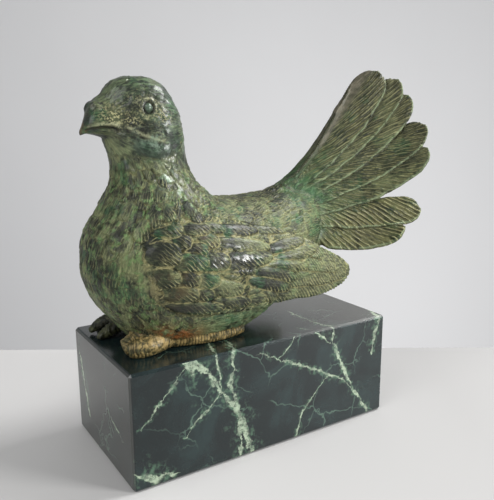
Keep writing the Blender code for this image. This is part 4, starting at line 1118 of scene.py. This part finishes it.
# ------------------------------------------------------------------ table, wall, light, camera
def plain(name, colour, roughness, painted_shade_side=None):
    g = Graph(name)
    n = g.noise(g.coord, 3.0, 3, 0.5)
    col = g.mix(n, colour, tuple(c * 0.94 for c in colour))
    if painted_shade_side:
        # painted shade: the colour darkens towards the given direction, down to share of itself
        direction, share = painted_shade_side
        reach = g.vec("DOT_PRODUCT", g.coord, direction, out=1)
        col = g.mix(g.ramp(reach, -0.12, 0.14, smooth=False), col, tuple(c * share for c in colour))
    g.shade(Base_Color=col, Roughness=roughness)
    return g.mat


right = Vector((0.8427, -0.5383, -0.0052))
up = Vector((0.1181, 0.1754, 0.9774))
back = Vector((-0.5253, -0.8243, 0.2114))
eye = Vector((-0.1740, -0.2877, 0.1743))
away = Vector((0.5374, 0.8433, 0.0)).normalized()
along = Vector((away.y, -away.x, 0))


def quad(name, corners, mat):
    o = mesh_object(name, [tuple(c) for c in corners], [(0, 1, 2, 3)])
    o.data.materials.append(mat)
    return o


foot = Vector((0, 0, 0))
edge_far = away * 0.11
# the table's colour is painted darker towards the right: painted shade
quad("table", [edge_far - along * 2 - away * 2.6, edge_far + along * 2 - away * 2.6, edge_far + along * 2, edge_far - along * 2],
     plain("table_white", (0.66, 0.65, 0.64), 0.6, (tuple(along), 0.66)))
wall_at = away * 1.0
quad("wall", [wall_at - along * 3 + Vector((0, 0, -1.5)), wall_at + along * 3 + Vector((0, 0, -1.5)),
              wall_at + along * 3 + Vector((0, 0, 2.5)), wall_at - along * 3 + Vector((0, 0, 2.5))],
     plain("wall_white", (0.84, 0.835, 0.84), 0.8))

world = bpy.data.worlds.new("studio")
bpy.context.scene.world = world
world.use_nodes = True
world.node_tree.nodes["Background"].inputs[0].default_value = (0.96, 0.98, 1.0, 1)
world.node_tree.nodes["Background"].inputs[1].default_value = 0.32


def soft_light(name, toward, distance, size, watts, colour=(1, 1, 1), target=(0.0, 0.0, 0.10)):
    data = bpy.data.lights.new(name, "AREA")
    data.shape, data.size, data.energy, data.color = "SQUARE", size, watts, colour
    o = bpy.data.objects.new(name, data)
    bpy.context.scene.collection.objects.link(o)
    toward = Vector(toward).normalized()
    o.matrix_world = Matrix.Translation(Vector(target) + toward * distance) @ toward.to_track_quat("Z", "Y").to_matrix().to_4x4()
    return o


soft_light("window_right", (0.60, -0.76, 0.24), 0.9, 0.26, 7.2)
soft_light("high_right", (0.66, -0.11, 0.72), 1.2, 0.45, 4.8).data.spread = math.radians(110)
soft_light("fill_left", (-0.75, -0.30, 0.55), 1.0, 0.6, 4.6)
soft_light("on_the_wall", (-0.349, -0.548, -0.50), 0.82, 0.7, 1.9, target=(0.832, 0.655, 0.10))

cam = bpy.data.cameras.new("camera")
cam_obj = bpy.data.objects.new("camera", cam)
bpy.context.scene.collection.objects.link(cam_obj)
cam.sensor_fit, cam.sensor_width, cam.lens = "AUTO", 36, 613.18 * 36 / 500
cam.clip_start, cam.clip_end = 0.01, 20
cam_obj.matrix_world = Matrix(((right.x, up.x, back.x, eye.x), (right.y, up.y, back.y, eye.y),
                               (right.z, up.z, back.z, eye.z), (0, 0, 0, 1)))
bpy.context.scene.camera = cam_obj
bpy.context.scene.view_settings.view_transform = "Standard"
